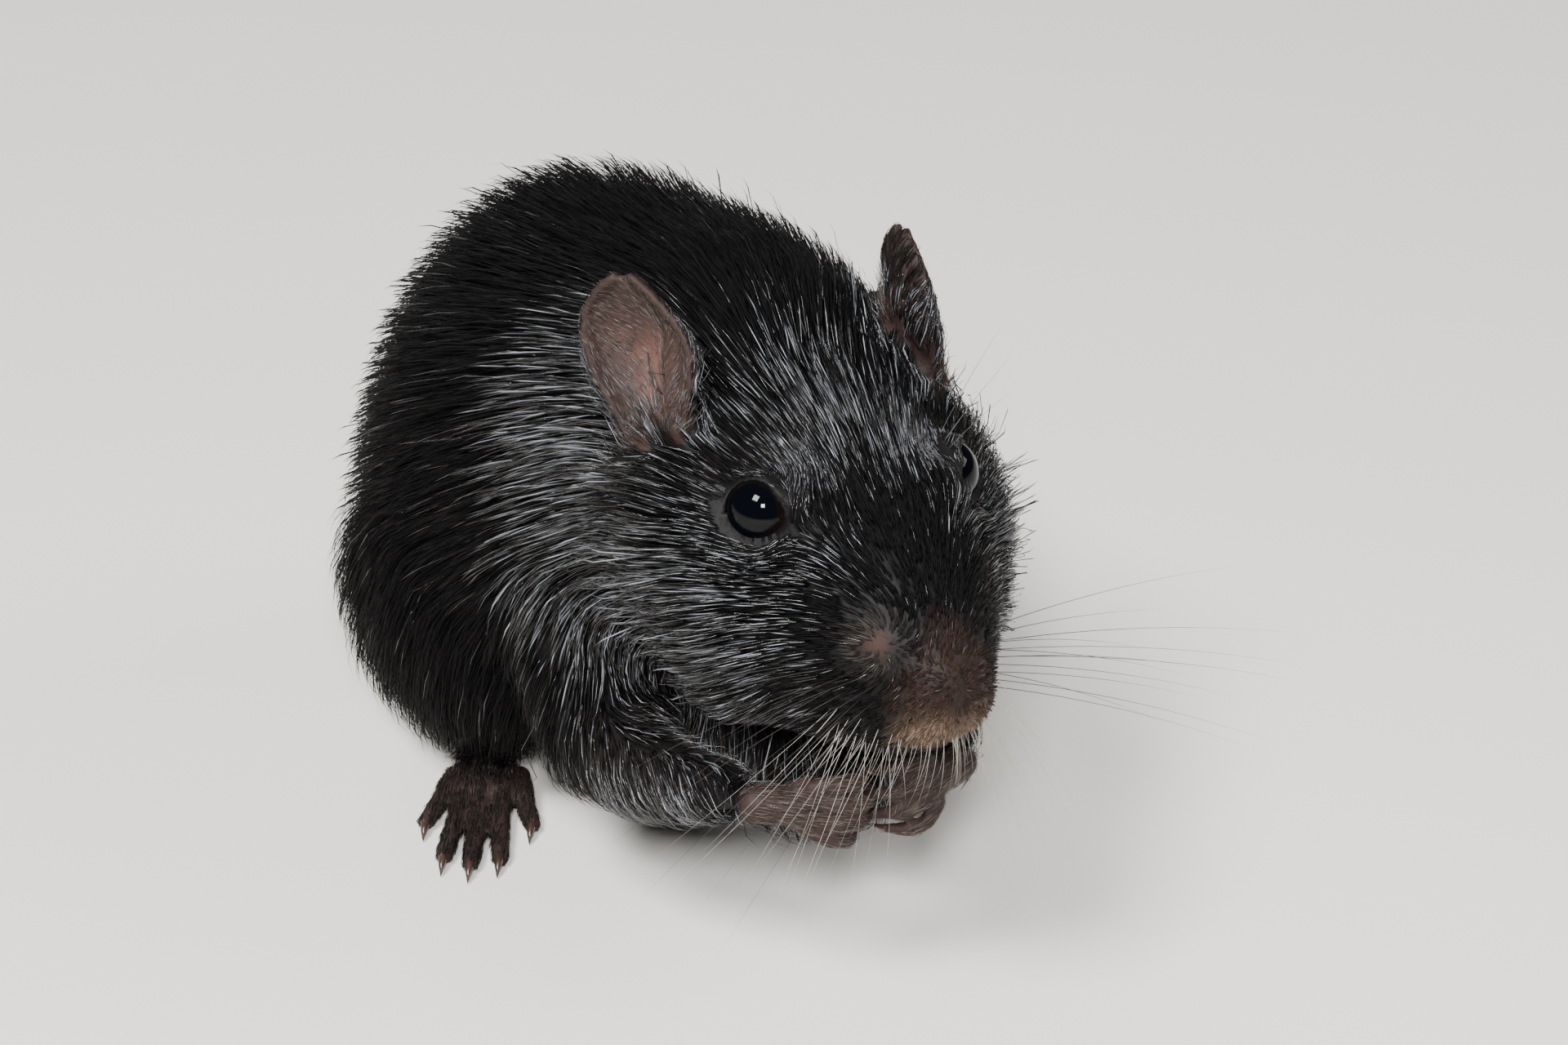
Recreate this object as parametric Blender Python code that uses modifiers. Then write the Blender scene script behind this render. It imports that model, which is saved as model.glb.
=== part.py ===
"""A life-size still model of a solid black Mongolian gerbil, hunched on its hind feet with its
forepaws held together under its mouth, as it sits when it eats.

Every solid reaches out to the tips of the coat. The flesh is fused in one piece, smoothed, and then
parted into named nodes by thin cuts. Sizes are in millimetres until a mesh is made. The animal faces
-Y, its own left side is +X, and it stands on z = 0.
"""

import math

import bmesh
import bpy
from mathutils import Matrix, Vector

MM = 0.001
GAP = 0.3  # width of every parting cut
UP = Vector((0, 0, 1))

# The trunk, as cross-sections from the throat back to the rump:
# y, half width, and the heights of the back, the widest level and the belly.
TRUNK_SECTIONS = [
    (-30, 12.5, 47.0, 32.0, 19.0),
    (-25, 16.0, 52.8, 29.5, 13.5),
    (-19, 18.6, 54.4, 27.0, 8.5),
    (-11, 19.8, 53.0, 23.0, 5.5),
    (-3, 20.8, 51.6, 21.0, 4.5),
    (5, 21.4, 50.8, 19.5, 3.5),
    (12, 19.0, 48.0, 18.5, 3.5),
    (18.5, 13.6, 40.5, 18.5, 4.0),
]
THROAT_END = Vector((-1, -33, 32))
RUMP_END = Vector((0, 24.0, 20))
TRUNK_SQUARENESS = 1.95

# The head has a frame of its own, with its origin midway between the eyes: distances ahead of the
# eyes, half widths, and heights of the top, widest level and underside.
EYE_LINE = Vector((-2.2, -37.4, 40.3))
HEAD_TURN = math.radians(7.5)  # towards the animal's right
HEAD_NOD = math.radians(0.0)
HEAD_TILT = math.radians(3.6)  # left side lower
HEAD_SECTIONS = [
    (16.6, 2.6, -6.4, -9.2, -11.6),
    (14.5, 4.1, -4.4, -9.8, -14.2),
    (11.5, 6.2, -2.0, -9.8, -16.4),
    (8.0, 8.9, 0.6, -9.2, -18.0),
    (4.0, 11.3, 3.2, -8.8, -19.2),
    (0.0, 12.7, 5.2, -8.0, -20.0),
    (-5.0, 15.2, 7.2, -6.0, -20.2),
    (-10.0, 15.4, 8.6, -5.8, -19.8),
    (-16.0, 15.0, 9.2, -6.0, -19.0),
    (-22.0, 13.5, 9.0, -6.0, -17.0),
]
NOSE_TIP = Vector((0, -17.3, -8.8))
NAPE_END = Vector((0, 26, -3))
HEAD_SQUARENESS = 1.9
WHISKER_PAD = Vector((2.5, -11.0, -10.8))
WHISKER_PAD_RADII = (3.4, 4.4, 4.0)
CHEEK = Vector((7.8, 2.2, -10.2))
CHEEK_RADII = (6.4, 8.5, 8.6)

EYE = Vector((7.4, 0.5, -0.3))
EYE_RADIUS = 2.9

# Each ear is a thin cup from the notch at its foot to its tip. The left ear is pricked more upright.
EAR_FOOT = {"right": Vector((-11.6, 9.4, 0.4)), "left": Vector((11.4, 10.0, 0.4))}
EAR_TIP = {"right": Vector((-12.5, 14.0, 13.0)), "left": Vector((9.7, 13.6, 13.2))}
EAR_FACING = {"right": Vector((-0.8, -0.5, 0.2)), "left": Vector((0.8, -0.5, 0.2))}
EAR_HALF_WIDTH = 4.5
EAR_DEPTH = 2.4
EAR_THICKNESS = 0.9

# Limbs, as centre-line points (x, y, z, radius) of the right side, which has negative x.
UPPER_ARM = [(-11, -18, 27, 6.5), (-14, -18.5, 19, 6.0), (-14.5, -19.5, 13.5, 4.8)]
FOREARM_RIGHT = [(-14.5, -18.5, 13.2, 4.6), (-14.6, -28.0, 15.3, 4.3), (-12.9, -38.0, 18.4, 2.9)]
FOREARM_LEFT = [(14.5, -19.0, 13.2, 4.6), (10.4, -30.0, 14.6, 4.3), (4.4, -40.6, 17.4, 2.9)]

# Each paw: its middle, the way its fingers point, and the way its back faces.
HAND_LENGTH = 6.6
HAND_RIGHT = (Vector((-9.2, -42.4, 18.0)), Vector((0.80, -0.55, -0.10)), Vector((-0.50, -0.75, 0.10)))
HAND_LEFT = (Vector((-0.6, -44.0, 17.6)), Vector((-0.90, -0.35, 0.10)), Vector((0.35, -0.85, 0.30)))
HAUNCH = Vector((12.6, 2.5, 15.5))
HAUNCH_RADII = (9.6, 14.5, 14.2)

# Hind feet, flat on the floor.
TOE_TIP = Vector((-23.0, -14.0, 0.0))
FOOT_SPLAY = math.radians(38)
FOOT_LENGTH = 28.0
HEEL_WIDTH = 4.6
BALL_WIDTH = 6.4
HEEL_HEIGHT = 5.2
BALL_HEIGHT = 3.2
TOE_RADIUS = 0.85
CLAW_LENGTH = 2.2
SOLE_CUT = 0.35  # how much of each round sole and toe the floor flattens

# The tail lies on the floor and curls round to the animal's left: x, y and radius.
TAIL_STATIONS = [
    (0, 15, 4.2),
    (0, 24, 3.6),
    (3, 35, 3.2),
    (12, 45, 3.0),
    (25, 48, 2.9),
    (38, 42, 2.9),
    (45, 31, 3.2),
    (45, 20, 3.6),
    (40, 10, 3.2),
    (35, 4, 1.2),
]

# Where the tail is parted: a place on each cut, and the way it faces along the length it parts off.
TAIL_BASE_CUT = ((13, 45, 3), (-0.86, -0.5, 0))
TAIL_TIP_CUT = ((45.3, 26, 3), (0, -1, 0))

# How each fused shape is meshed: voxel size, passes of smoothing and triangles.
BODY_MESH = (0.8, 6, 2140)
HAND_MESH = (0.38, 2, 360)
FOOT_MESH = (0.42, 2, 380)

# Where the flesh is parted: planes given as (distance ahead of the eyes, height) pairs in the head's
# frame, and rounded regions in the animal's.
NAPE_PLANE = ((-17.5, 10.0), (-8.5, -20.0))
NECK_LENGTH = 7.5
NOSE_PLANE = 14.7
MOUTH_LINE = ((15.5, -13.2), (3.0, -15.6))
JAW_HALF_WIDTH = 4.9
THIGH = Vector((17.0, 3.0, 12.0))
THIGH_RADII = (10.0, 13.0, 13.5)
SHOULDER = Vector((15.36, -18.09, 20.23))
SHOULDER_RADII = (7.0, 7.5, 9.5)
FOREARM_CUT = 5.9  # radius of the region round each forearm
SHARE_KEPT = 0.8  # how much of each furred node's mesh stays once the cuts' slivers are merged

BLACK_COAT = (0.012, 0.011, 0.012, 1.0)
BROWN_SKIN = (0.10, 0.065, 0.055, 1.0)
DARK_EYE = (0.004, 0.004, 0.006, 1.0)


# ------------------------------------------------------------------ making and joining shapes


def clear_scene():
    for obj in list(bpy.data.objects):
        bpy.data.objects.remove(obj)


def material(name, colour, roughness):
    made = bpy.data.materials.new(name)
    made.use_nodes = True
    shader = made.node_tree.nodes["Principled BSDF"]
    shader.inputs["Base Color"].default_value = colour
    shader.inputs["Roughness"].default_value = roughness
    made.diffuse_color = colour
    return made


def collection(name):
    made = bpy.data.collections.new(name)
    bpy.context.scene.collection.children.link(made)
    return made


def object_from(name, bm, home):
    """A mesh object from a bmesh in millimetres, its faces turned outwards."""
    bmesh.ops.recalc_face_normals(bm, faces=bm.faces)
    bmesh.ops.scale(bm, vec=(MM, MM, MM), verts=bm.verts)
    mesh = bpy.data.meshes.new(name)
    bm.to_mesh(mesh)
    bm.free()
    obj = bpy.data.objects.new(name, mesh)
    home.objects.link(obj)
    return obj


def settled(obj):
    """Applies an object's modifiers to its mesh."""
    bpy.context.view_layer.update()
    graph = bpy.context.evaluated_depsgraph_get()
    obj.data = bpy.data.meshes.new_from_object(obj.evaluated_get(graph))
    obj.modifiers.clear()
    return obj


def turned(obj, matrix):
    """Moves a mesh by a matrix in millimetres."""
    metres = matrix.copy()
    metres.translation *= MM
    obj.data.transform(metres)
    return obj


def superellipse(angle, squareness):
    c, s = math.cos(angle), math.sin(angle)
    power = 2 / squareness
    return math.copysign(abs(c) ** power, c), math.copysign(abs(s) ** power, s)


def cross_section(centre, side, up, half_width, rise, fall, squareness, count):
    """Points round a section that is half_width to each side, rise high and fall deep."""
    points = []
    for i in range(count):
        across, tall = superellipse(2 * math.pi * i / count, squareness)
        points.append(centre + side * across * half_width + up * tall * (rise if tall > 0 else fall))
    return points


def loft(name, rings, start, end, home):
    """A closed skin through rings of points, drawn to a point at each end."""
    bm = bmesh.new()
    loops = [[bm.verts.new(p) for p in points] for points in rings]
    for one, other in zip(loops, loops[1:]):
        for i in range(len(one)):
            j = (i + 1) % len(one)
            bm.faces.new((one[i], one[j], other[j], other[i]))
    for loop, point in ((loops[0], start), (loops[-1], end)):
        tip = bm.verts.new(point)
        for i in range(len(loop)):
            bm.faces.new((loop[i], loop[(i + 1) % len(loop)], tip))
    obj = object_from(name, bm, home)
    smooth = obj.modifiers.new("smooth", "SUBSURF")
    smooth.levels = smooth.render_levels = 1
    return settled(obj)


def ball(name, centre, radii, home, subdivisions=3):
    """An ellipsoid with the given half sizes."""
    bm = bmesh.new()
    bmesh.ops.create_icosphere(bm, subdivisions=subdivisions, radius=1.0)
    bmesh.ops.scale(bm, vec=radii, verts=bm.verts)
    bmesh.ops.translate(bm, vec=centre, verts=bm.verts)
    return object_from(name, bm, home)


def smooth_path(points, steps):
    """Points along a Catmull-Rom curve through these ones."""
    padded = [points[0] * 2 - points[1], *points, points[-1] * 2 - points[-2]]
    found = []
    for a, b, c, d in zip(padded, padded[1:], padded[2:], padded[3:]):
        for i in range(steps):
            t = i / steps
            pull = (c - a) * t
            bend = (a * 2 - b * 5 + c * 4 - d) * t**2
            twist = (b * 3 - a - c * 3 + d) * t**3
            found.append((b * 2 + pull + bend + twist) / 2)
    return [*found, points[-1]]


def tube(name, stations, home, steps=4, sides=12):
    """A round tube through stations (x, y, z, radius), with rounded ends."""
    path = smooth_path([Vector(s) for s in stations], steps)
    rings = []
    for i, here in enumerate(path):
        ahead, behind = path[min(i + 1, len(path) - 1)], path[max(i - 1, 0)]
        along = (ahead.xyz - behind.xyz).normalized()
        side = along.orthogonal().normalized() if i == 0 else (side - along * side.dot(along)).normalized()
        rings.append(cross_section(here.xyz, side, along.cross(side), here.w, here.w, here.w, 2.0, sides))
    start = path[0].xyz + (path[0].xyz - path[1].xyz).normalized() * path[0].w * 0.7
    end = path[-1].xyz + (path[-1].xyz - path[-2].xyz).normalized() * path[-1].w * 0.7
    return loft(name, rings, start, end, home)


def fuse(name, pieces, voxel, smoothing, triangles, home):
    """One closed mesh round all these pieces, its joins smoothed over and its triangles thinned."""
    bm = bmesh.new()
    for piece in pieces:
        bm.from_mesh(piece.data)
        bpy.data.objects.remove(piece)
    bmesh.ops.scale(bm, vec=(1 / MM,) * 3, verts=bm.verts)
    obj = object_from(name, bm, home)
    remesh = obj.modifiers.new("fuse", "REMESH")
    remesh.mode = "VOXEL"
    remesh.voxel_size = voxel * MM
    smooth = obj.modifiers.new("smooth", "SMOOTH")
    smooth.factor = 0.5
    smooth.iterations = smoothing
    settled(obj)
    faces = sum(len(p.vertices) - 2 for p in obj.data.polygons)
    thin = obj.modifiers.new("thin", "DECIMATE")
    thin.ratio = min(1.0, triangles / faces)
    return settled(obj)


def mirrored(obj, name, home):
    """A copy of a mesh on the animal's other side."""
    bm = bmesh.new()
    bm.from_mesh(obj.data)
    bmesh.ops.scale(bm, vec=(-1 / MM, 1 / MM, 1 / MM), verts=bm.verts)
    return object_from(name, bm, home)


def boolean(obj, cutter, operation):
    """Cuts one closed mesh by another. The exact solver loses whole pieces of the fused body."""
    cut = obj.modifiers.new(operation.lower(), "BOOLEAN")
    cut.operation = operation
    cut.object = cutter
    cut.solver = "MANIFOLD"
    return settled(obj)


def grown(cutter, by, helpers):
    """A copy of a cutter whose faces all stand out by so many millimetres."""
    bm = bmesh.new()
    bm.from_mesh(cutter.data)
    bmesh.ops.scale(bm, vec=(1 / MM,) * 3, verts=bm.verts)
    bm.normal_update()
    places = [vert.co + vert.normal * vert.calc_shell_factor() * by for vert in bm.verts]
    for vert, place in zip(bm.verts, places):
        vert.co = place
    return object_from(cutter.name + "_grown", bm, helpers)


def block(name, centre, half, turn, home):
    """A cutting block of the given half sizes, turned about its centre."""
    bm = bmesh.new()
    bmesh.ops.create_cube(bm, size=2.0)
    bmesh.ops.scale(bm, vec=half, verts=bm.verts)
    bmesh.ops.transform(bm, matrix=Matrix.Translation(centre) @ turn, verts=bm.verts)
    return object_from(name, bm, home)


def clear_of(obj, neighbour, helpers):
    """Cuts obj back to a thin gap from its neighbour."""
    wider = grown(neighbour, GAP, helpers)
    boolean(obj, wider, "DIFFERENCE")
    bpy.data.objects.remove(wider)


def whole(obj):
    """Keeps the largest piece of a mesh and drops the crumbs that a cut leaves."""
    bm = bmesh.new()
    bm.from_mesh(obj.data)
    unseen = set(bm.verts)
    islands = []
    while unseen:
        front = [unseen.pop()]
        island = list(front)
        while front:
            for edge in front.pop().link_edges:
                for vert in edge.verts:
                    if vert in unseen:
                        unseen.remove(vert)
                        front.append(vert)
                        island.append(vert)
        islands.append(island)
    islands.sort(key=len)
    for island in islands[:-1]:
        bmesh.ops.delete(bm, geom=island, context="VERTS")
    bm.to_mesh(obj.data)
    bm.free()
    return obj


def thinned(obj):
    """Merges the slivers that the cuts leave with their neighbours."""
    merge = obj.modifiers.new("merge", "DECIMATE")
    merge.ratio = SHARE_KEPT
    return settled(obj)


def part_off(body, region, name, home, helpers):
    """The share of body inside region becomes a node, and body keeps the rest, less a thin cut."""
    node = bpy.data.objects.new(name, body.data.copy())
    home.objects.link(node)
    boolean(node, region, "INTERSECT")
    clear_of(body, region, helpers)
    bpy.data.objects.remove(region)
    whole(body)
    return whole(node)


def slab(name, front, back, thickness, half_width, helpers):
    """A cutting slab whose upper face runs between two (ahead, height) points of the head's frame."""
    low, high = Vector((0, -front[0], front[1])), Vector((0, -back[0], back[1]))
    along = (high - low).normalized()
    side = Vector((1, 0, 0))
    turn = Matrix((side, along, side.cross(along))).transposed().to_4x4()
    centre = (low + high) / 2 - side.cross(along) * thickness / 2
    return block(name, centre, (half_width, (high - low).length / 2, thickness / 2), turn, helpers)


def level(obj, floor, helpers):
    """Cuts off what would lie under the floor, which leaves a small flat there."""
    below = block("below", Vector((0, 0, floor - 50)), (200, 200, 50), Matrix(), helpers)
    boolean(obj, below, "DIFFERENCE")
    bpy.data.objects.remove(below)


# ------------------------------------------------------------------------------ the animal


def head_frame():
    """Head coordinates to the animal's, with both facing -Y."""
    turn = Matrix.Rotation(-HEAD_TURN, 4, "Z")
    nod = Matrix.Rotation(HEAD_NOD, 4, "X")
    tilt = Matrix.Rotation(HEAD_TILT, 4, "Y")
    return Matrix.Translation(EYE_LINE) @ turn @ nod @ tilt


def trunk_shape(helpers):
    rings = []
    for y, half_width, back, widest, belly in TRUNK_SECTIONS:
        centre = Vector((0, y, widest))
        rings.append(
            cross_section(centre, Vector((1, 0, 0)), UP, half_width, back - widest, widest - belly,
                          TRUNK_SQUARENESS, 20)
        )
    return loft("trunk_shape", rings, THROAT_END, RUMP_END, helpers)


def head_shape(helpers):
    """The head with its cheeks and whisker pads, still in its own frame."""
    rings = []
    for ahead, half_width, top, widest, under in HEAD_SECTIONS:
        centre = Vector((0, -ahead, widest))
        rings.append(
            cross_section(centre, Vector((1, 0, 0)), UP, half_width, top - widest, widest - under,
                          HEAD_SQUARENESS, 20)
        )
    pieces = [loft("skull_shape", rings, NOSE_TIP, NAPE_END, helpers)]
    for side in (-1, 1):
        for name, centre, radii in (
            ("pad", WHISKER_PAD, WHISKER_PAD_RADII),
            ("cheek", CHEEK, CHEEK_RADII),
        ):
            pieces.append(ball(name, Vector((centre.x * side, centre.y, centre.z)), radii, helpers))
    return pieces


def ear(side, name, home):
    """A thin cup, widest above its middle and rolled to a narrow foot."""
    foot, tip, facing = EAR_FOOT[side], EAR_TIP[side], EAR_FACING[side]
    length = (tip - foot).length
    up = (tip - foot).normalized()
    across = up.cross(facing).normalized()
    facing = across.cross(up).normalized()
    bm = bmesh.new()
    rows, columns = 7, 6
    grid = []
    for row in range(rows + 1):
        v = row / rows
        half = EAR_HALF_WIDTH * math.sin(math.pi * (0.12 + 0.84 * v) ** 0.85) ** 0.62
        line = []
        for column in range(columns + 1):
            u = 2 * column / columns - 1
            hollow = EAR_DEPTH * (u * u - 1) * math.sin(math.pi * min(1, 0.25 + 0.75 * v)) ** 0.6
            curl = half * (1 - 0.35 * (1 - v) ** 2)
            line.append(bm.verts.new(foot + up * length * v + across * u * curl + facing * (hollow + 0.6)))
        grid.append(line)
    for low, high in zip(grid, grid[1:]):
        for i in range(columns):
            bm.faces.new((low[i], low[i + 1], high[i + 1], high[i]))
    obj = object_from(name, bm, home)
    wall = obj.modifiers.new("wall", "SOLIDIFY")
    wall.thickness = EAR_THICKNESS * MM
    wall.offset = 0
    return settled(obj)


def hand(name, middle, aim, back, home, helpers):
    """A small paw with four curled fingers, made along +Y with its back up, then turned."""
    pieces = [
        tube("wrist", [(0, -3.6, 0.2, 1.7), (0, -2.0, 0.2, 1.9), (0, -0.6, 0.1, 2.0)], helpers),
        ball("palm", Vector((0, -0.4, 0.0)), (2.7, 2.4, 1.6), helpers),
    ]
    for i in range(4):
        across = (i - 1.5) * 1.35
        reach = HAND_LENGTH * 0.5 - 0.35 * abs(i - 1.3)
        stations = [
            (across * 0.85, 0.0, 0.4, 0.85),
            (across, 1.7, 0.5, 0.8),
            (across * 0.97, reach, -0.5, 0.7),
            (across * 0.85, reach + 0.3, -2.2, 0.45),
        ]
        pieces.append(tube("finger", stations, helpers, steps=3, sides=8))
    pieces.append(tube("thumb", [(1.9, -0.6, -0.8, 0.8), (2.4, 0.4, -1.6, 0.6)], helpers, 3, 8))
    obj = fuse(name, pieces, *HAND_MESH, home)
    along = aim.normalized()
    across = along.cross(back).normalized()
    turn = Matrix((across, along, across.cross(along))).transposed().to_4x4()
    return turned(obj, Matrix.Translation(middle) @ turn)


def hind_foot(name, home, helpers):
    """A long flat foot, made with its heel at the origin and its toes along -Y."""
    ball_of_foot = FOOT_LENGTH * 0.64
    sections = [
        (0.0, HEEL_WIDTH * 0.34, HEEL_HEIGHT * 0.8),
        (2.0, HEEL_WIDTH * 0.5, HEEL_HEIGHT),
        (8.0, HEEL_WIDTH * 0.5, HEEL_HEIGHT * 0.82),
        (13.0, HEEL_WIDTH * 0.56, BALL_HEIGHT * 1.1),
        (ball_of_foot, BALL_WIDTH * 0.5, BALL_HEIGHT),
    ]
    rings = []
    for ahead, half_width, height in sections:
        centre = Vector((0, -ahead, height * 0.45))
        rings.append(
            cross_section(centre, Vector((1, 0, 0)), UP, half_width, height * 0.55, height * 0.45, 2.4, 12)
        )
    start = Vector((0, 1.0, HEEL_HEIGHT * 0.4))
    end = Vector((0, -ball_of_foot - 1.5, BALL_HEIGHT * 0.4))
    pieces = [loft("sole", rings, start, end, helpers)]
    toes = ((-2.6, 0.80, -4.4), (-1.45, 0.97, -2.3), (0.0, 1.0, 0.0), (1.45, 0.97, 2.3), (2.6, 0.80, 4.4))
    for root, share, spread in toes:
        knuckle = ball_of_foot - 1.5 if share > 0.9 else ball_of_foot - 4.0
        tip = FOOT_LENGTH * share - CLAW_LENGTH
        stations = [
            (root, -knuckle, 1.2, TOE_RADIUS * 1.15),
            ((root + spread) * 0.5, -(knuckle + tip) * 0.52, 1.35, TOE_RADIUS),
            (spread * 0.98, -tip, 0.85, TOE_RADIUS * 0.95),
            (spread, -tip - CLAW_LENGTH, 0.6, TOE_RADIUS * 0.3),
        ]
        pieces.append(tube("toe", stations, helpers, steps=3, sides=8))
    obj = fuse(name, pieces, *FOOT_MESH, home)
    turn = Matrix.Rotation(-FOOT_SPLAY, 4, "Z")
    heel = TOE_TIP - turn @ Vector((0, -FOOT_LENGTH, 0))
    turned(obj, Matrix.Translation(heel - UP * SOLE_CUT) @ turn)
    level(obj, 0, helpers)
    return obj


def tail(trunk, home, helpers):
    """Three lengths of one tapering tail that ends in a brush."""
    stations = [(x, y, radius - SOLE_CUT, radius) for x, y, radius in TAIL_STATIONS]
    whole_tail = tube("tail_middle", stations, home, steps=1, sides=8)
    level(whole_tail, 0, helpers)
    clear_of(whole_tail, trunk, helpers)
    nodes = [whole(whole_tail)]
    for name, place, way in (("tail_base", *TAIL_BASE_CUT), ("tail_tip", *TAIL_TIP_CUT)):
        along = Vector(way).normalized()
        turn = along.to_track_quat("Y", "Z").to_matrix().to_4x4()
        region = block(name + "_region", Vector(place) + along * 30, (30, 30, 20), turn, helpers)
        nodes.append(part_off(whole_tail, region, name, home, helpers))
    return nodes


def flesh(head_place, parts, helpers):
    """The whole body in one skin, without paws, hind feet, eyes, ears and tail."""
    pieces = [turned(piece, head_place) for piece in head_shape(helpers)]
    pieces.append(trunk_shape(helpers))
    for side in (-1, 1):
        pieces.append(ball("haunch", Vector((HAUNCH.x * side, HAUNCH.y, HAUNCH.z)), HAUNCH_RADII, helpers))
        arm = [(x * -side, y, z, radius) for x, y, z, radius in UPPER_ARM]
        pieces.append(tube("upper_arm", arm, helpers))
    pieces.append(tube("forearm", FOREARM_RIGHT, helpers))
    pieces.append(tube("forearm", FOREARM_LEFT, helpers))
    return fuse("trunk", pieces, *BODY_MESH, parts)


def part_limbs(body, parts, helpers):
    nodes = []
    for name, line in (("right", FOREARM_RIGHT), ("left", FOREARM_LEFT)):
        start, middle, end = (Vector(point[:3]) for point in line)
        reach = end + (end - middle).normalized() * 4
        stations = [(*point, FOREARM_CUT) for point in (start, middle, end, reach)]
        region = tube("forearm_region", stations, helpers, steps=1, sides=8)
        nodes.append(part_off(body, region, "forearm_" + name, parts, helpers))
    for side, name in ((-1, "right"), (1, "left")):
        for kind, centre, radii in (
            ("upper_arm_", SHOULDER, SHOULDER_RADII),
            ("thigh_", THIGH, THIGH_RADII),
        ):
            region = ball("region", Vector((centre.x * side, centre.y, centre.z)), radii, helpers, 3)
            nodes.append(part_off(body, region, kind + name, parts, helpers))
    return nodes


def part_head(body, head_place, parts, helpers):
    """Parts off the head and the neck, then the nose and the lower jaw from the head."""
    top, bottom = (Vector((0, -ahead, height)) for ahead, height in NAPE_PLANE)
    along = (bottom - top).normalized()
    side = Vector((1, 0, 0))
    turn = Matrix((side, side.cross(along), -along)).transposed().to_4x4()
    forward = turn @ Vector((0, -1, 0))
    middle = (top + bottom) / 2
    nodes = {}
    for name, centre, half in (
        ("head", middle + forward * 25, (40, 25, 18)),
        ("neck", middle - forward * (NECK_LENGTH / 2 + GAP), (40, NECK_LENGTH / 2, 19)),
    ):
        region = turned(block(name + "_region", centre, half, turn, helpers), head_place)
        nodes[name] = part_off(body, region, name, parts, helpers)
    nose = block("nose_region", Vector((0, -NOSE_PLANE - 10, -10)), (10, 10, 10), Matrix(), helpers)
    nodes["nose"] = part_off(nodes["head"], turned(nose, head_place), "nose", parts, helpers)
    jaw = slab("jaw_region", MOUTH_LINE[0], MOUTH_LINE[1], 12, JAW_HALF_WIDTH, helpers)
    nodes["lower_jaw"] = part_off(nodes["head"], turned(jaw, head_place), "lower_jaw", parts, helpers)
    return nodes


def centre_on_floor(nodes):
    """Puts the middle of the animal's box over the origin."""
    corners = [v.co for node in nodes for v in node.data.vertices]
    middle = Vector([-(max(c[i] for c in corners) + min(c[i] for c in corners)) / 2 for i in range(3)])
    middle.z = -min(c.z for c in corners)
    for node in nodes:
        node.data.transform(Matrix.Translation(middle))


def build():
    clear_scene()
    parts = collection("gerbil")
    helpers = collection("cutters")
    head_place = head_frame()
    body = flesh(head_place, parts, helpers)

    skin_nodes = []
    for name, place in (("hand_right", HAND_RIGHT), ("hand_left", HAND_LEFT)):
        paw = hand(name, *place, parts, helpers)
        clear_of(body, paw, helpers)
        skin_nodes.append(paw)
    foot = hind_foot("hind_foot_right", parts, helpers)
    for foot in (foot, mirrored(foot, "hind_foot_left", parts)):
        clear_of(body, foot, helpers)
        skin_nodes.append(foot)

    eyes = []
    for side, name in ((-1, "right"), (1, "left")):
        centre = head_place @ Vector((EYE.x * side, EYE.y, EYE.z))
        eye = ball("eye_" + name, centre, (EYE_RADIUS,) * 3, parts)
        clear_of(body, eye, helpers)
        eyes.append(eye)
        cup = turned(ear(name, "ear_" + name, parts), head_place)
        clear_of(cup, body, helpers)
        skin_nodes.append(whole(cup))

    coat_nodes = tail(body, parts, helpers)
    coat_nodes += part_limbs(body, parts, helpers)
    head_nodes = part_head(body, head_place, parts, helpers)
    skin_nodes.append(head_nodes.pop("nose"))
    coat_nodes += [body, *head_nodes.values()]

    coat = material("black_fur", BLACK_COAT, 0.55)
    skin = material("bare_skin", BROWN_SKIN, 0.6)
    shine = material("wet_eye", DARK_EYE, 0.05)
    for nodes, finish in ((coat_nodes, coat), (skin_nodes, skin), (eyes, shine)):
        for node in nodes:
            node.data.materials.clear()
            node.data.materials.append(finish)
            node.data.shade_smooth()
    for node in coat_nodes:
        thinned(node)
    centre_on_floor([*coat_nodes, *skin_nodes, *eyes])
    for helper in list(helpers.objects):
        bpy.data.objects.remove(helper)


build()
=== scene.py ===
"""A solid black Mongolian gerbil as a museum's still model, hunched over its forepaws, at life size."""

import math

import bmesh
import bpy
import numpy as np
from mathutils import Matrix, Vector
from mathutils.bvhtree import BVHTree


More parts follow.
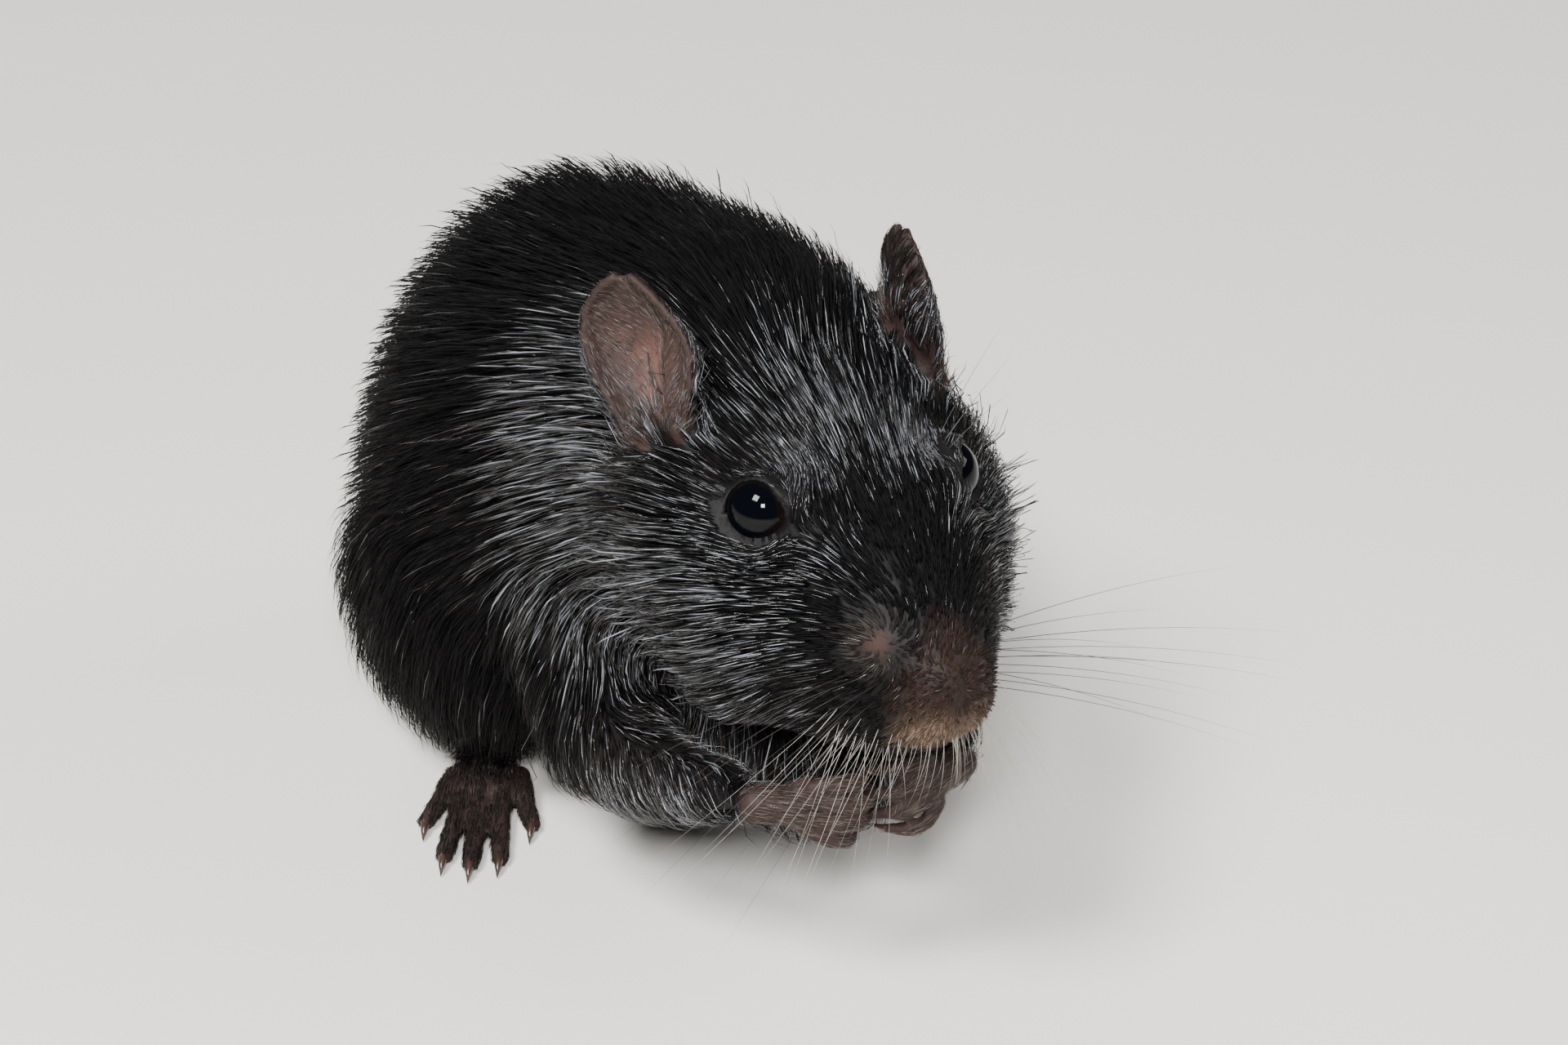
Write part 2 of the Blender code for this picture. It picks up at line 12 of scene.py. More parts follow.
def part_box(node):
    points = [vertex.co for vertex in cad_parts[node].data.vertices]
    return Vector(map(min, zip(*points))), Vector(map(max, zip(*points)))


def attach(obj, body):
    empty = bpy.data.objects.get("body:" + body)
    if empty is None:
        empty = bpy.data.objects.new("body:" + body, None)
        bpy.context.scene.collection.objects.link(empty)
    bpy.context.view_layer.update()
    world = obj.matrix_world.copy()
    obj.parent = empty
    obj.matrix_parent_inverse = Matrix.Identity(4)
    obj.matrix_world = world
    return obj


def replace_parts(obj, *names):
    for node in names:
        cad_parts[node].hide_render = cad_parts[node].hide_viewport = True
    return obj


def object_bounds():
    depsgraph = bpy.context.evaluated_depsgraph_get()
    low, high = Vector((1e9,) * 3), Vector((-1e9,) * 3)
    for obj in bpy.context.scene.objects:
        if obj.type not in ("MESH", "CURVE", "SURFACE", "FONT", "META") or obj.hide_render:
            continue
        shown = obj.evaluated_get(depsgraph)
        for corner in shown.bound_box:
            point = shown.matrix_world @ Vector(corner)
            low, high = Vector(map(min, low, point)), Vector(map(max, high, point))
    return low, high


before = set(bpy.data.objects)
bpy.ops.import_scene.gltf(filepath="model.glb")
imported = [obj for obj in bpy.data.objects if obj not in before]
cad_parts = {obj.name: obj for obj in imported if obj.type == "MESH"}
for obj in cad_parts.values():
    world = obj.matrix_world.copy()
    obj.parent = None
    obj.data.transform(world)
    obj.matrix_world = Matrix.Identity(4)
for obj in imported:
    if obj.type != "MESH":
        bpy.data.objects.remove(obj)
cad_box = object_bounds()

# ---------- the pose
# The gerbil sits on its hind feet and faces -Y, and its own left side is +X. Its head is turned
# 7.5 degrees to its right and tipped 3.6 degrees, with the left side lower. Places on the head are
# given from the point midway between the eyes, in millimetres: to its left, back and up.

MM = 0.001
head_turn = Matrix.Rotation(math.radians(-7.5), 3, "Z") @ Matrix.Rotation(math.radians(3.6), 3, "Y")
eye_centre = {side: sum(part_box("eye_" + side), Vector()) / 2 for side in ("right", "left")}
between_eyes = (eye_centre["right"] + eye_centre["left"]) / 2 - head_turn @ Vector((0, 0.5, -0.3)) * MM


def on_head(left, back, up):
    return between_eyes + head_turn @ Vector((left, back, up)) * MM


# Places on the body are given from a point on the floor under the middle of its shoulders.
under_shoulders = between_eyes - Vector((-2.2, -37.4, 40.3)) * MM


def on_body(left, back, up):
    return under_shoulders + Vector((left, back, up)) * MM


SIDES = (("right", -1), ("left", 1))


def arr(vector):
    return np.array(vector, dtype=np.float64)


# ---------- the ears
# Each ear is a thin upright cup of cartilage under bare-looking skin, rolled to a narrow foot, with
# a long fold down the middle of its hollow, a rolled front edge and a lobe that closes its foot.

EAR_FOOT = {"right": (-11.6, 9.4, 0.4), "left": (11.4, 10.0, 0.4)}
EAR_TIP = {"right": (-12.5, 14.0, 13.0), "left": (9.7, 13.6, 13.2)}
EAR_FACING = {"right": (-0.8, -0.5, 0.2), "left": (0.95, -0.12, 0.2)}
# From the foot to the tip: how far up, how far its front and rear rims reach, how deep its hollow is,
# and where, from -1 at the rear rim to 1 at the front one, its fold runs. All but the first and last
# are in millimetres.
EAR_HEIGHTS = (0.0, 0.16, 0.32, 0.42, 0.55, 0.62, 0.70, 0.82, 0.93, 1.0)
EAR_FRONT = (1.9, 3.1, 3.9, 4.4, 4.7, 4.6, 4.2, 3.1, 1.7, 0.4)
EAR_REAR = (1.9, 2.2, 2.7, 3.4, 3.95, 4.1, 4.15, 3.8, 2.4, 0.4)
EAR_HOLLOW = (0.5, 1.1, 1.7, 2.0, 2.1, 2.0, 1.7, 1.1, 0.5, 0.0)
EAR_VALLEY = (0.2, 0.25, 0.1, 0.05, 0.1, 0.2, 0.3, 0.4, 0.4, 0.4)
EAR_WALL = 0.62
EAR_SPLIT = -EAR_WALL / 2  # places further back than this from the hollow side belong to the ear's back


def ear_space(side):
    """The ear's foot, length and directions: up to the tip, across and out of the hollow."""
    foot, tip = on_head(*EAR_FOOT[side]), on_head(*EAR_TIP[side])
    up = (tip - foot).normalized()
    across = up.cross(head_turn @ Vector(EAR_FACING[side])).normalized()
    across *= 1 if across.dot(head_turn @ Vector((0, -1, 0))) > 0 else -1
    facing = across.cross(up)
    facing *= 1 if facing.dot(head_turn @ Vector(EAR_FACING[side])) > 0 else -1
    return foot, (tip - foot).length, up, across, facing.normalized()


def ear_fold(u, v):
    """How far out the hollow side is, in millimetres, at u from rear rim to front and v from foot to tip."""
    hollow, valley = np.interp(v, EAR_HEIGHTS, EAR_HOLLOW), np.interp(v, EAR_HEIGHTS, EAR_VALLEY)
    folded = np.sin(np.pi * np.clip(0.08 + v, 0, 1)) ** 0.7
    lip = np.maximum(0, np.abs(u) - 0.82) / 0.18
    trough = 0.55 * np.exp(-(((u - valley) / 0.13) ** 2)) - 0.75 * np.exp(-(((u - valley - 0.34) / 0.2) ** 2))
    return 0.5 - hollow * (1 - u * u) - folded * trough + 0.45 * lip


def on_ear(places, side):
    """Where places lie on an ear: u, v, millimetres across it and out from its hollow side."""
    foot, length, up, across, facing = (arr(part) for part in ear_space(side))
    v, wide, out = (places - foot) @ up / length, (places - foot) @ across / MM, (places - foot) @ facing / MM
    u = wide / np.where(wide > 0, np.interp(v, EAR_HEIGHTS, EAR_FRONT), np.interp(v, EAR_HEIGHTS, EAR_REAR))
    return u, v, wide, out - ear_fold(u, v)


def add_ear(bm, side):
    """The ear's cup as a sheet with a wall, its folds pressed into it."""
    foot, length, up, across, facing = ear_space(side)
    rows, columns = 36, 32
    sheet, grid = bmesh.new(), []
    for row in range(rows + 1):
        v = row / rows
        front, rear = np.interp(v, EAR_HEIGHTS, EAR_FRONT), np.interp(v, EAR_HEIGHTS, EAR_REAR)
        line = []
        for column in range(columns + 1):
            u = 2 * column / columns - 1
            reach = (front if u > 0 else rear) * u * (1 - 0.07 * max(0, abs(u) - 0.82) / 0.18)
            aside = (across * reach + facing * ear_fold(u, v)) * MM
            line.append(sheet.verts.new(foot + up * length * v + aside))
        grid.append(line)
    for low, high in zip(grid, grid[1:]):
        for i in range(columns):
            sheet.faces.new((low[i], low[i + 1], high[i + 1], high[i]))
    sheet.normal_update()
    if sum((face.normal for face in sheet.faces), Vector()).dot(facing) < 0:
        bmesh.ops.reverse_faces(sheet, faces=sheet.faces)
    bmesh.ops.solidify(sheet, geom=sheet.faces[:], thickness=EAR_WALL * MM)
    bmesh.ops.recalc_face_normals(sheet, faces=sheet.faces)
    join(bm, sheet)
    front_lobe = foot + up * length * 0.10 + (across * 2.3 + facing * 0.5) * MM
    rear_lobe = foot + up * length * 0.06 - (across * 1.2 - facing * 0.2) * MM
    add_ball(bm, front_lobe, (1.0, 1.0, 1.6))
    add_ball(bm, rear_lobe, (1.0, 1.2, 1.3))


def as_mesh(bm, name):
    """A finished bmesh as a mesh of this name."""
    mesh = bpy.data.meshes.new(name)
    bm.to_mesh(mesh)
    bm.free()
    return mesh


def join(bm, piece):
    """Puts a finished piece's faces into bm."""
    mesh = as_mesh(piece, "piece")
    bm.from_mesh(mesh)
    bpy.data.meshes.remove(mesh)


def add_ball(bm, centre, radii, turn=Matrix()):
    place = Matrix.Translation(centre) @ turn.to_4x4() @ Matrix.Diagonal((*(Vector(radii) * MM), 1))
    bmesh.ops.create_icosphere(bm, subdivisions=3, radius=1.0, matrix=place)


# ---------- hands and hind feet
# Bare, wrinkled skin over thin bones. Each forepaw has four curled fingers and a stub of a thumb,
# each long hind foot lies flat on its sole and has five toes. They are rounded limb by limb here
# and sink into the same skin as the rest.

HAND_PLACE = {
    "right": ((-9.2, -42.4, 18.0), (0.80, -0.55, -0.10), (-0.50, -0.75, 0.10)),
    "left": ((-0.6, -44.0, 17.6), (-0.90, -0.35, 0.10), (0.35, -0.85, 0.30)),
}
FINGERS = [  # four fingers and the thumb, from the palm to the tip: (across, ahead, up, radius)
    [(-1.75, -0.6, 0.45, 0.66), (-2.40, 1.4, 0.7, 0.60), (-2.45, 2.8, 0.0, 0.62), (-2.25, 3.2, -1.7, 0.42)],
    [(-0.60, -0.4, 0.60, 0.68), (-0.82, 1.8, 0.9, 0.60), (-0.82, 3.5, 0.1, 0.64), (-0.75, 3.9, -1.9, 0.44)],
    [(0.60, -0.4, 0.60, 0.68), (0.82, 1.8, 0.9, 0.60), (0.82, 3.4, 0.1, 0.64), (0.75, 3.8, -1.9, 0.44)],
    [(1.75, -0.6, 0.45, 0.64), (2.38, 1.3, 0.7, 0.58), (2.42, 2.6, 0.0, 0.60), (2.25, 3.0, -1.6, 0.42)],
    [(1.90, -0.8, -0.7, 0.70), (2.40, 0.2, -1.5, 0.50)],
]
FOOT_LENGTH = 28.0
FOOT_SPLAY = math.radians(38)
TOE_TIP = (23.0, -14.0, 0.0)
# Each toe's root across the foot, its tip's share of the foot's length, and its tip across the foot.
TOES = ((-2.6, 0.80, -4.4), (-1.45, 0.97, -2.3), (0.0, 1.0, 0.0), (1.45, 0.97, 2.3), (2.6, 0.80, 4.4))


def hand_space(side):
    """Hand coordinates to the world's: across the palm, along the fingers and out of its back."""
    middle, aim, back = (Vector(part) for part in HAND_PLACE[side])
    along = aim.normalized()
    across = along.cross(back).normalized()
    turn = Matrix((across, along, across.cross(along))).transposed()
    return Matrix.Translation(on_body(*middle)) @ turn.to_4x4() @ Matrix.Scale(MM, 4)


def foot_space(side, sign):
    """Foot coordinates to the world's: from the heel, with the toes along -Y."""
    turn = Matrix.Rotation(FOOT_SPLAY * sign, 3, "Z")
    heel = Vector((TOE_TIP[0] * sign, TOE_TIP[1], 0)) - turn @ Vector((0, -FOOT_LENGTH, 0))
    return Matrix.Translation(on_body(*heel)) @ turn.to_4x4() @ Matrix.Scale(MM, 4)


def add_limb(bm, stations, space):
    """Round joints and tapering bones between them, through stations (x, y, z, radius)."""
    for station in stations:
        centre, radius = space @ Vector(station[:3]), station[3]
        add_ball(bm, centre, (radius,) * 3)
    for one, other in zip(stations, stations[1:]):
        a, b = space @ Vector(one[:3]), space @ Vector(other[:3])
        turn = (b - a).to_track_quat("Z", "Y").to_matrix().to_4x4()
        bmesh.ops.create_cone(bm, cap_ends=True, segments=12, radius1=one[3] * MM, radius2=other[3] * MM,
                              depth=(b - a).length, matrix=Matrix.Translation((a + b) / 2) @ turn)


def add_hand(bm, side):
    space = hand_space(side)
    for finger in FINGERS:
        add_limb(bm, finger, space)
    add_limb(bm, [(0, -4.6, 0.1, 1.6), (0, -2.8, 0.1, 1.45), (0, -1.2, 0.0, 1.5)], space)
    turn = space.to_3x3().normalized()
    add_ball(bm, space @ Vector((0, -0.8, -0.2)), (2.3, 1.9, 1.1), turn)


def toe_stations(root, share, aside):
    """One toe from its knuckle to the root of its claw."""
    knuckle = FOOT_LENGTH * 0.64 - (1.5 if share > 0.9 else 4.0)
    tip = FOOT_LENGTH * share - 2.2
    middle = ((root + aside) * 0.5, -(knuckle + tip) * 0.52, 1.2, 0.76)
    return [(root, -knuckle, 1.3, 0.95), middle, (aside * 0.98, -tip, 0.72, 0.70)]


def add_foot(bm, side, sign):
    space = foot_space(side, sign)
    for toe in TOES:
        add_limb(bm, toe_stations(*toe), space)
    sole = [(0, 0, 2.3, 2.2), (0, -4, 2.2, 2.1), (0, -9, 1.9, 1.9), (0, -13, 1.9, 1.85)]
    add_limb(bm, sole, space)
    for across in (-1.5, 0, 1.5):
        add_limb(bm, [(across * 0.3, -11, 1.7, 1.6), (across, -17, 1.3, 1.25)], space)
    add_ball(bm, space @ Vector((0, -1.0, 5.0)), (2.4, 3.0, 3.4))  # the ankle


# ---------- the skin
# One unbroken hide covers trunk, neck, head, limbs, ears, paws and tail. It lies under the tips of
# the coat by the coat's depth, is raised in a rim round each eye, and has the mouth and both
# nostrils pressed into it. It is bare, or thinly haired, only on the ears and the paws.

PARTING = 0.25  # mm that each furred node is swelled by, so that the thin cuts between them close
VOXEL = 0.3  # mm
KEPT_FACES = 0.36  # of those that the voxels give
FURRED = {
    "trunk": ("trunk",),
    "neck": ("neck",),
    "head": ("head", "lower_jaw", "nose"),
    "upper_arm": ("upper_arm_right", "upper_arm_left"),
    "forearm": ("forearm_right", "forearm_left"),
    "thigh": ("thigh_right", "thigh_left"),
    "tail": ("tail_base", "tail_middle", "tail_tip"),
}
REGIONS = [*FURRED, "ear", "hand", "foot", "lid"]
REPLACED = [solid for solids in FURRED.values() for solid in solids]
REPLACED += [kind + side for kind in ("ear_", "hand_", "hind_foot_") for side, sign in SIDES]


def add_node(bm, node):
    """A CAD node's surface, its doubles merged and its faces pushed out to close the cuts."""
    part = bmesh.new()
    part.from_mesh(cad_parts[node].data)
    bmesh.ops.remove_doubles(part, verts=part.verts, dist=1e-6)
    part.normal_update()
    places = [v.co + v.normal * min(v.calc_shell_factor(), 1.5) * PARTING * MM for v in part.verts]
    for vert, place in zip(part.verts, places):
        vert.co = place
    join(bm, part)


EYE_RADIUS = 2.75
LID_REACH = 3.4  # the outside of the lids, from the middle of the eye
LID_TURNS = (0, 20, 45, 90, 135, 180, 225, 270, 315, 340, 360)  # from the nasal corner over the top
LID_ANGLES = (82, 58, 47, 47, 49, 50, 54, 58, 61, 70, 82)  # from the eye's axis to the lid's edge
LID_OPEN = {"left": 0.86, "right": 1.0}  # the left eye is a little more closed


def eye_space(side, sign):
    """Where an eye is and its directions: the way it looks, its nasal corner and its upper lid."""
    axis = (head_turn @ Vector((0.75 * sign, -0.56, 0.35))).normalized()
    corner = head_turn @ Vector((-0.47 * sign, -0.88, -0.06))
    corner = (corner - axis * corner.dot(axis)).normalized()
    upper = axis.cross(corner)
    return eye_centre[side], axis, corner, upper * (1 if upper.z > 0 else -1)


def join_loops(bm, loops):
    """Quads between each two neighbours in a row of closed loops of vertices."""
    for one, other in zip(loops, loops[1:]):
        for k in range(len(one)):
            m = (k + 1) % len(one)
            bm.faces.new((one[k], one[m], other[m], other[k]))


def add_lids(bm, side, sign):
    """Both lids as one shell round the eyeball, open along the lids' edge, with its pink corner."""
    centre, axis, corner, upper = eye_space(side, sign)
    # Degrees out from the lids' edge and millimetres from the eye's middle, round the lid's thickness.
    profile = ((0, 2.6), (-2, 2.86), (3, 3.06), (16, 3.16), (34, 3.1), (48, 2.9), (48, 2.2), (20, 2.2))
    shell, loops = bmesh.new(), []
    for turn in range(0, 360, 5):
        edge = np.interp(turn, LID_TURNS, LID_ANGLES) * LID_OPEN[side]
        nasal = math.cos(math.radians(turn))
        outward = corner * nasal + upper * math.sin(math.radians(turn))
        drawn = 1 + 0.07 * max(0, nasal) ** 8  # the nasal corner is drawn out
        loops.append([])
        for more, radius in profile:
            angle = math.radians(edge + more)
            way = axis * math.cos(angle) + outward * math.sin(angle)
            loops[-1].append(shell.verts.new(centre + way * radius * drawn * MM))
    join_loops(shell, loops + loops[:1])
    bmesh.ops.recalc_face_normals(shell, faces=shell.faces)
    join(bm, shell)
    add_ball(bm, centre + (axis * 0.25 + corner * 2.95) * MM, (0.42, 0.42, 0.42))


def from_lids(places, side, sign):
    """How far places are outside an eye's opening, in degrees, and from its middle in millimetres."""
    centre, axis, corner, upper = (arr(part) for part in eye_space(side, sign))
    away = places - centre
    far = np.linalg.norm(away, axis=-1)
    angle = np.degrees(np.arccos(np.clip(away @ axis / np.maximum(far, 1e-9), -1, 1)))
    turn = np.degrees(np.arctan2(away @ upper, away @ corner)) % 360
    return angle - np.interp(turn, LID_TURNS, LID_ANGLES) * LID_OPEN[side], far / MM


raw = bmesh.new()
face_region = []


def note_region(name):
    """Marks every face that was added since the last call as part of this region."""
    face_region.extend([REGIONS.index(name)] * (len(raw.faces) - len(face_region)))


for name, solids in FURRED.items():
    for solid in solids:
        add_node(raw, solid)
    note_region(name)
for side, sign in SIDES:
    add_ear(raw, side)
    note_region("ear")
    add_hand(raw, side)
    note_region("hand")
    add_foot(raw, side, sign)
    note_region("foot")
    add_lids(raw, side, sign)
    note_region("lid")
body_space = Matrix.Translation(on_body(0, 0, 0)) @ Matrix.Scale(MM, 4)
add_limb(raw, [(0, 13, 8, 4.0), (0, 20, 3.4, 3.0)], body_space)  # the root of the tail
note_region("tail")
CHEST = [  # where its fur bulges between the forearms, and the bulges' radii
    ((0, -26, 15.5), (9.5, 7.0, 7.0)), ((1.5, -28.0, 11.5), (9.5, 8.0, 7.5)), ((0, -20, 11), (11, 10, 8)),
]
for place, radii in CHEST:
    add_ball(raw, on_body(*place), radii)
note_region("neck")

raw_tree = BVHTree.FromBMesh(raw)


def put(name, data):
    """A new object in the scene, at the origin."""
    obj = bpy.data.objects.new(name, data)
    bpy.context.scene.collection.objects.link(obj)
    return obj


skin = put("skin", as_mesh(raw, "skin"))
melt = skin.modifiers.new("melt", "REMESH")
melt.mode = "VOXEL"
melt.voxel_size = VOXEL * MM
skin.modifiers.new("thin", "DECIMATE").ratio = KEPT_FACES


def settle(obj):
    """Applies an object's modifiers to its mesh."""
    bpy.context.view_layer.update()
    graph = bpy.context.evaluated_depsgraph_get()
    obj.data = bpy.data.meshes.new_from_object(obj.evaluated_get(graph))
    obj.modifiers.clear()


settle(skin)


def keep_largest(obj):
    """Drops everything but the largest connected shell."""
    bm = bmesh.new()
    bm.from_mesh(obj.data)
    unseen = set(bm.verts)
    shells = []
    while unseen:
        front = [unseen.pop()]
        shell = list(front)
        while front:
            for edge in front.pop().link_edges:
                for vert in edge.verts:
                    if vert in unseen:
                        unseen.remove(vert)
                        front.append(vert)
                        shell.append(vert)
        shells.append(shell)
    shells.sort(key=len)
    for shell in shells[:-1]:
        bmesh.ops.delete(bm, geom=shell, context="VERTS")
    bm.to_mesh(obj.data)
    bm.free()


keep_largest(skin)


def array_of(items, name, width, kind=np.float64):
    values = np.empty(len(items) * width, kind)
    items.foreach_get(name, values)
    return values.reshape(-1, width)


def spread(values, times):
    """Evens out what each vertex holds, by mixing it half and half with the mean of its neighbours."""
    held = values.astype(float).reshape(len(values), -1)
    one, other = edges.T
    count = np.bincount(edges.ravel(), minlength=len(values))[:, None]
    for _ in range(times):
        total = np.stack([
            np.bincount(one, column[other], len(values)) + np.bincount(other, column[one], len(values))
            for column in held.T
        ], axis=1)
        held = held + (total / count - held) * 0.5
    return held.reshape(values.shape)


def unit(vectors):
    return vectors / np.maximum(np.linalg.norm(vectors, axis=-1, keepdims=True), 1e-12)


def distances(places, centre):
    """Millimetres from each place to a centre."""
    return np.linalg.norm(places - arr(centre), axis=1) / MM


def near(places, centre, inner, outer):
    """1 within inner millimetres of a centre, falling to 0 at outer."""
    return np.clip((outer - distances(places, centre)) / (outer - inner), 0, 1)


def eye_distances(places):
    """Millimetres from each place to the middle of the nearer eye."""
    return np.min([distances(places, centre) for centre in eye_centre.values()], axis=0)


edges = array_of(skin.data.edges, "vertices", 2, np.int32)
points = array_of(skin.data.vertices, "co", 3)
region = np.array([face_region[raw_tree.find_nearest(Vector(p))[2]] for p in points])
for side, sign in SIDES:
    u, v, wide, out = on_ear(points, side)
    region[(v > -0.08) & (v < 0.5) & (abs(u) < 0.9) & (abs(out - 0.1) < 0.8)] = REGIONS.index("ear")
of = {name: region == i for i, name in enumerate(REGIONS)}
furred = ~(of["ear"] | of["hand"] | of["foot"] | of["lid"])

# The facets of the solids are smoothed away, and less so on the bare parts.
soften = spread(furred, 6)[:, None]
points = spread(points, 14) * soften + spread(points, 2) * (1 - soften)


def reshape(obj, points):
    """Moves an object's vertices and gives their new normals."""
    obj.data.vertices.foreach_set("co", points.ravel())
    obj.data.update()
    return array_of(obj.data.vertices, "normal", 3)


normals = reshape(skin, points)

# How deep the coat is, by how far back it lies on the head and by region elsewhere, in millimetres.
# Temples and brows stand prouder, as their bone lies close under the fur.
from_nose = distances(points, on_head(0, -17, -9))
head_depth = np.interp(from_nose, [0, 4, 10, 18, 26, 36], [0.25, 0.3, 0.5, 0.85, 1.3, 2.0])
DEPTH = {"trunk": 2.3, "neck": 2.1, "upper_arm": 1.5, "forearm": 1.05, "thigh": 1.9, "tail": 1.25}
depth = np.array([DEPTH.get(name, 0.0) for name in REGIONS])[region]
depth[of["head"]] = head_depth[of["head"]]
depth[furred] *= np.interp(eye_distances(points)[furred], [2.9, 3.6, 5.0], [0.1, 0.5, 1.0])
depth = spread(depth, 30)
sink = (depth + spread(furred, 3) * PARTING) * MM
for side, sign in SIDES:
    sink *= 1 - 0.95 * near(points, on_head(13.5 * sign, 3, -3), 4, 8)
    sink -= near(points, on_head(6.0 * sign, -3.4, 1.6), 0.6, 3.2) * 0.75 * MM
points = points - unit(spread(normals, 12)) * sink[:, None]
points = spread(points, 4) * soften + points * (1 - soften)


def groove(points, line, width, deep):
    """How deep a furrow along a line of places presses each point in."""
    nearest = np.full(len(points), np.inf)
    for a, b in zip(line, line[1:]):
        a, b = arr(a), arr(b)
        t = np.clip((points - a) @ (b - a) / ((b - a) @ (b - a)), 0, 1)
        nearest = np.minimum(nearest, np.linalg.norm(points - (a + t[:, None] * (b - a)), axis=1))
    return np.exp(-((nearest / (width * MM)) ** 2)) * deep * MM


# Two nostrils, the slit between them and the mouth below.
press = groove(points, [on_head(0, -16.6, -11.2), on_head(0, -15.2, -13.6)], 0.35, 0.5)
NOSTRIL = ((1.5, -16.6, -10.2), (2.4, -15.8, -10.3), (3.0, -14.9, -11.2))
MOUTH = ((0, -15.2, -13.4), (3.0, -12.5, -14.9), (4.6, -8.5, -15.6))
for side, sign in SIDES:
    for path, width, deep in ((NOSTRIL, 0.45, 0.95), (MOUTH, 0.4, 0.7)):
        press += groove(points, [on_head(sign * x, y, z) for x, y, z in path], width, deep)
points = points - normals * press[:, None]

# The skin leaves room for each eyeball, behind its lids and in their opening.
for side, sign in SIDES:
    outside, far = from_lids(points, side, sign)
    radius = np.where(outside > -1, np.maximum(far, EYE_RADIUS + 0.04), np.minimum(far, EYE_RADIUS - 0.3))
    near_eye = far < LID_REACH
    centre = arr(eye_centre[side])
    points[near_eye] = centre + (points[near_eye] - centre) * (radius / far)[near_eye, None]
points[:, 2] = np.maximum(points[:, 2], 0.0)
skin.data.shade_smooth()
normals = reshape(skin, points)

# ---------- the markings
# The gerbil is black all over. The short velvet of the nose is brown and a paler beige along the
# lip, a thin ring round each eye, the foot of each ear, the forearms and the belly are dull grey,
# and bare skin shows pinkish on the ears, the paws and in a small parting on the muzzle.

WHORL = on_head(-4.4, -11.6, -5.8)


def spots(places, rows):
    """The greatest share that rows of (place, inner, outer, share) give, each as near() fades it."""
    return np.max([near(places, place, inner, outer) * share for place, inner, outer, share in rows], axis=0)


def painted_sheen_and_gloss(places):
    """How strongly the guard hairs carry a painted silver highlight, and how many of them stay glossy: on the
    brow, cheeks, neck, forearms and the backs of the ears.
    """
    rows = [(on_head(0, 2, 5), 3, 9, 0.9)]
    for side, sign in SIDES:
        foot, length, up, across, facing = ear_space(side)
        rows += [
            (foot + up * length * 0.3, 2, 7, 1.4),
            (foot + up * length * 0.5 + across * 3.4 * MM, 1.5, 4, 0.8),
            (on_head(10.5 * sign, 2, -9), 5, 13, 1.0),
            (on_head(5.5 * sign, -6, -2), 1, 4, 0.5),
            (on_head(12 * sign, 12, -10), 5, 13, 1.0),
            (on_head(13 * sign, 16, -1), 4, 12, 1.3),
            (on_head(10 * sign, 8, 3), 2, 5, 1.2),
            (on_head(6 * sign, -1, 3.5), 2, 5, 1.0),
            (on_body(13 * sign, -30, 14), 5, 13, 1.0),
        ]
    return spots(places, rows)


def markings(places, bare):
    """Brown, grey, pink and beige shares of each place."""
    nose, bridge = on_head(0, -16.5, -9.0), on_head(0, -14.5, -6.5)
    brown = spots(places, [(nose, 3.6, 5.6, 1.0), (bridge, 1.5, 3.5, 0.8)])
    beige = spots(places, [(on_head(1.6 * sign, -15.6, -12.2), 1.0, 3.4, 0.85) for side, sign in SIDES])
    greys = [(WHORL, 0.6, 2.6, 1.0)]
    for side, sign in SIDES:
        greys += [(on_head(*EAR_FOOT[side]), 1.5, 5.0, 0.45), (on_body(14 * sign, -28, 12), 5.0, 12.0, 0.6)]
    ring = np.exp(-(((eye_distances(places) - 3.6) / 0.8) ** 2)) * 0.12
    belly = np.clip((on_body(0, 0, 15).z - places[:, 2]) / (14 * MM), 0, 1) * 0.3
    belly = belly * (places[:, 1] < on_body(0, 14, 0).y)
    grey = np.max([spots(places, greys), ring, belly], axis=0)
    pink = np.maximum(bare, near(places, WHORL, 0.2, 1.6) * 0.3)
    return np.stack([brown, grey, np.clip(pink, 0, 1), beige * (1 - bare)], axis=1)


def add_attribute(mesh, name, values):
    layer = mesh.attributes.new(name, "FLOAT_COLOR", "POINT")
    layer.data.foreach_set("color", np.ascontiguousarray(values, np.float32).ravel())


bare = spread(of["ear"] | of["hand"] | of["foot"], 3)
skin_marks = markings(points, bare)

# Bare skin is dark on the paws and on the tip, rim and furred back of each ear, and flesh coloured
# only in the channel of an ear's hollow and at the nasal corners of the eyes.
dark = np.zeros(len(points))
ear_back = np.zeros(len(points), bool)
head_out = (points - arr(between_eyes)) @ arr(head_turn @ Vector((1, 0, 0))) / MM
own_ear = {side: of["ear"] & (np.sign(head_out) == sign) for side, sign in SIDES}
ear_place = {side: on_ear(points, side) for side, sign in SIDES}
for side, own in own_ear.items():
    u, v, wide, out = ear_place[side]
    turned_out = normals @ arr(ear_space(side)[-1])
    channel = np.exp(-(((u - np.interp(v, EAR_HEIGHTS, EAR_VALLEY) + 0.12) / 0.42) ** 2))
    channel *= np.clip((0.8 - v) / 0.25, 0, 1)
    channel = np.maximum(channel, 0.45 * np.exp(-((u + 0.4) ** 2) / 0.1 - (v - 0.66) ** 2 / 0.01))
    channel *= np.clip(turned_out * 3 + 0.5, 0, 1)
    behind = own & (out < EAR_SPLIT) & (turned_out < np.where(abs(u) < 0.75, -0.15, 0.3))
    dark[own] = 0.95 - 0.85 * channel[own]
    dark[behind] = 1.0
    ear_back |= behind
dark[of["hand"]] = 0.95
dark[of["foot"]] = 1.0
dark = np.minimum(spread(dark, 3) / np.maximum(bare, 0.05), 1)
skin_marks[of["lid"], 1] = 0.0
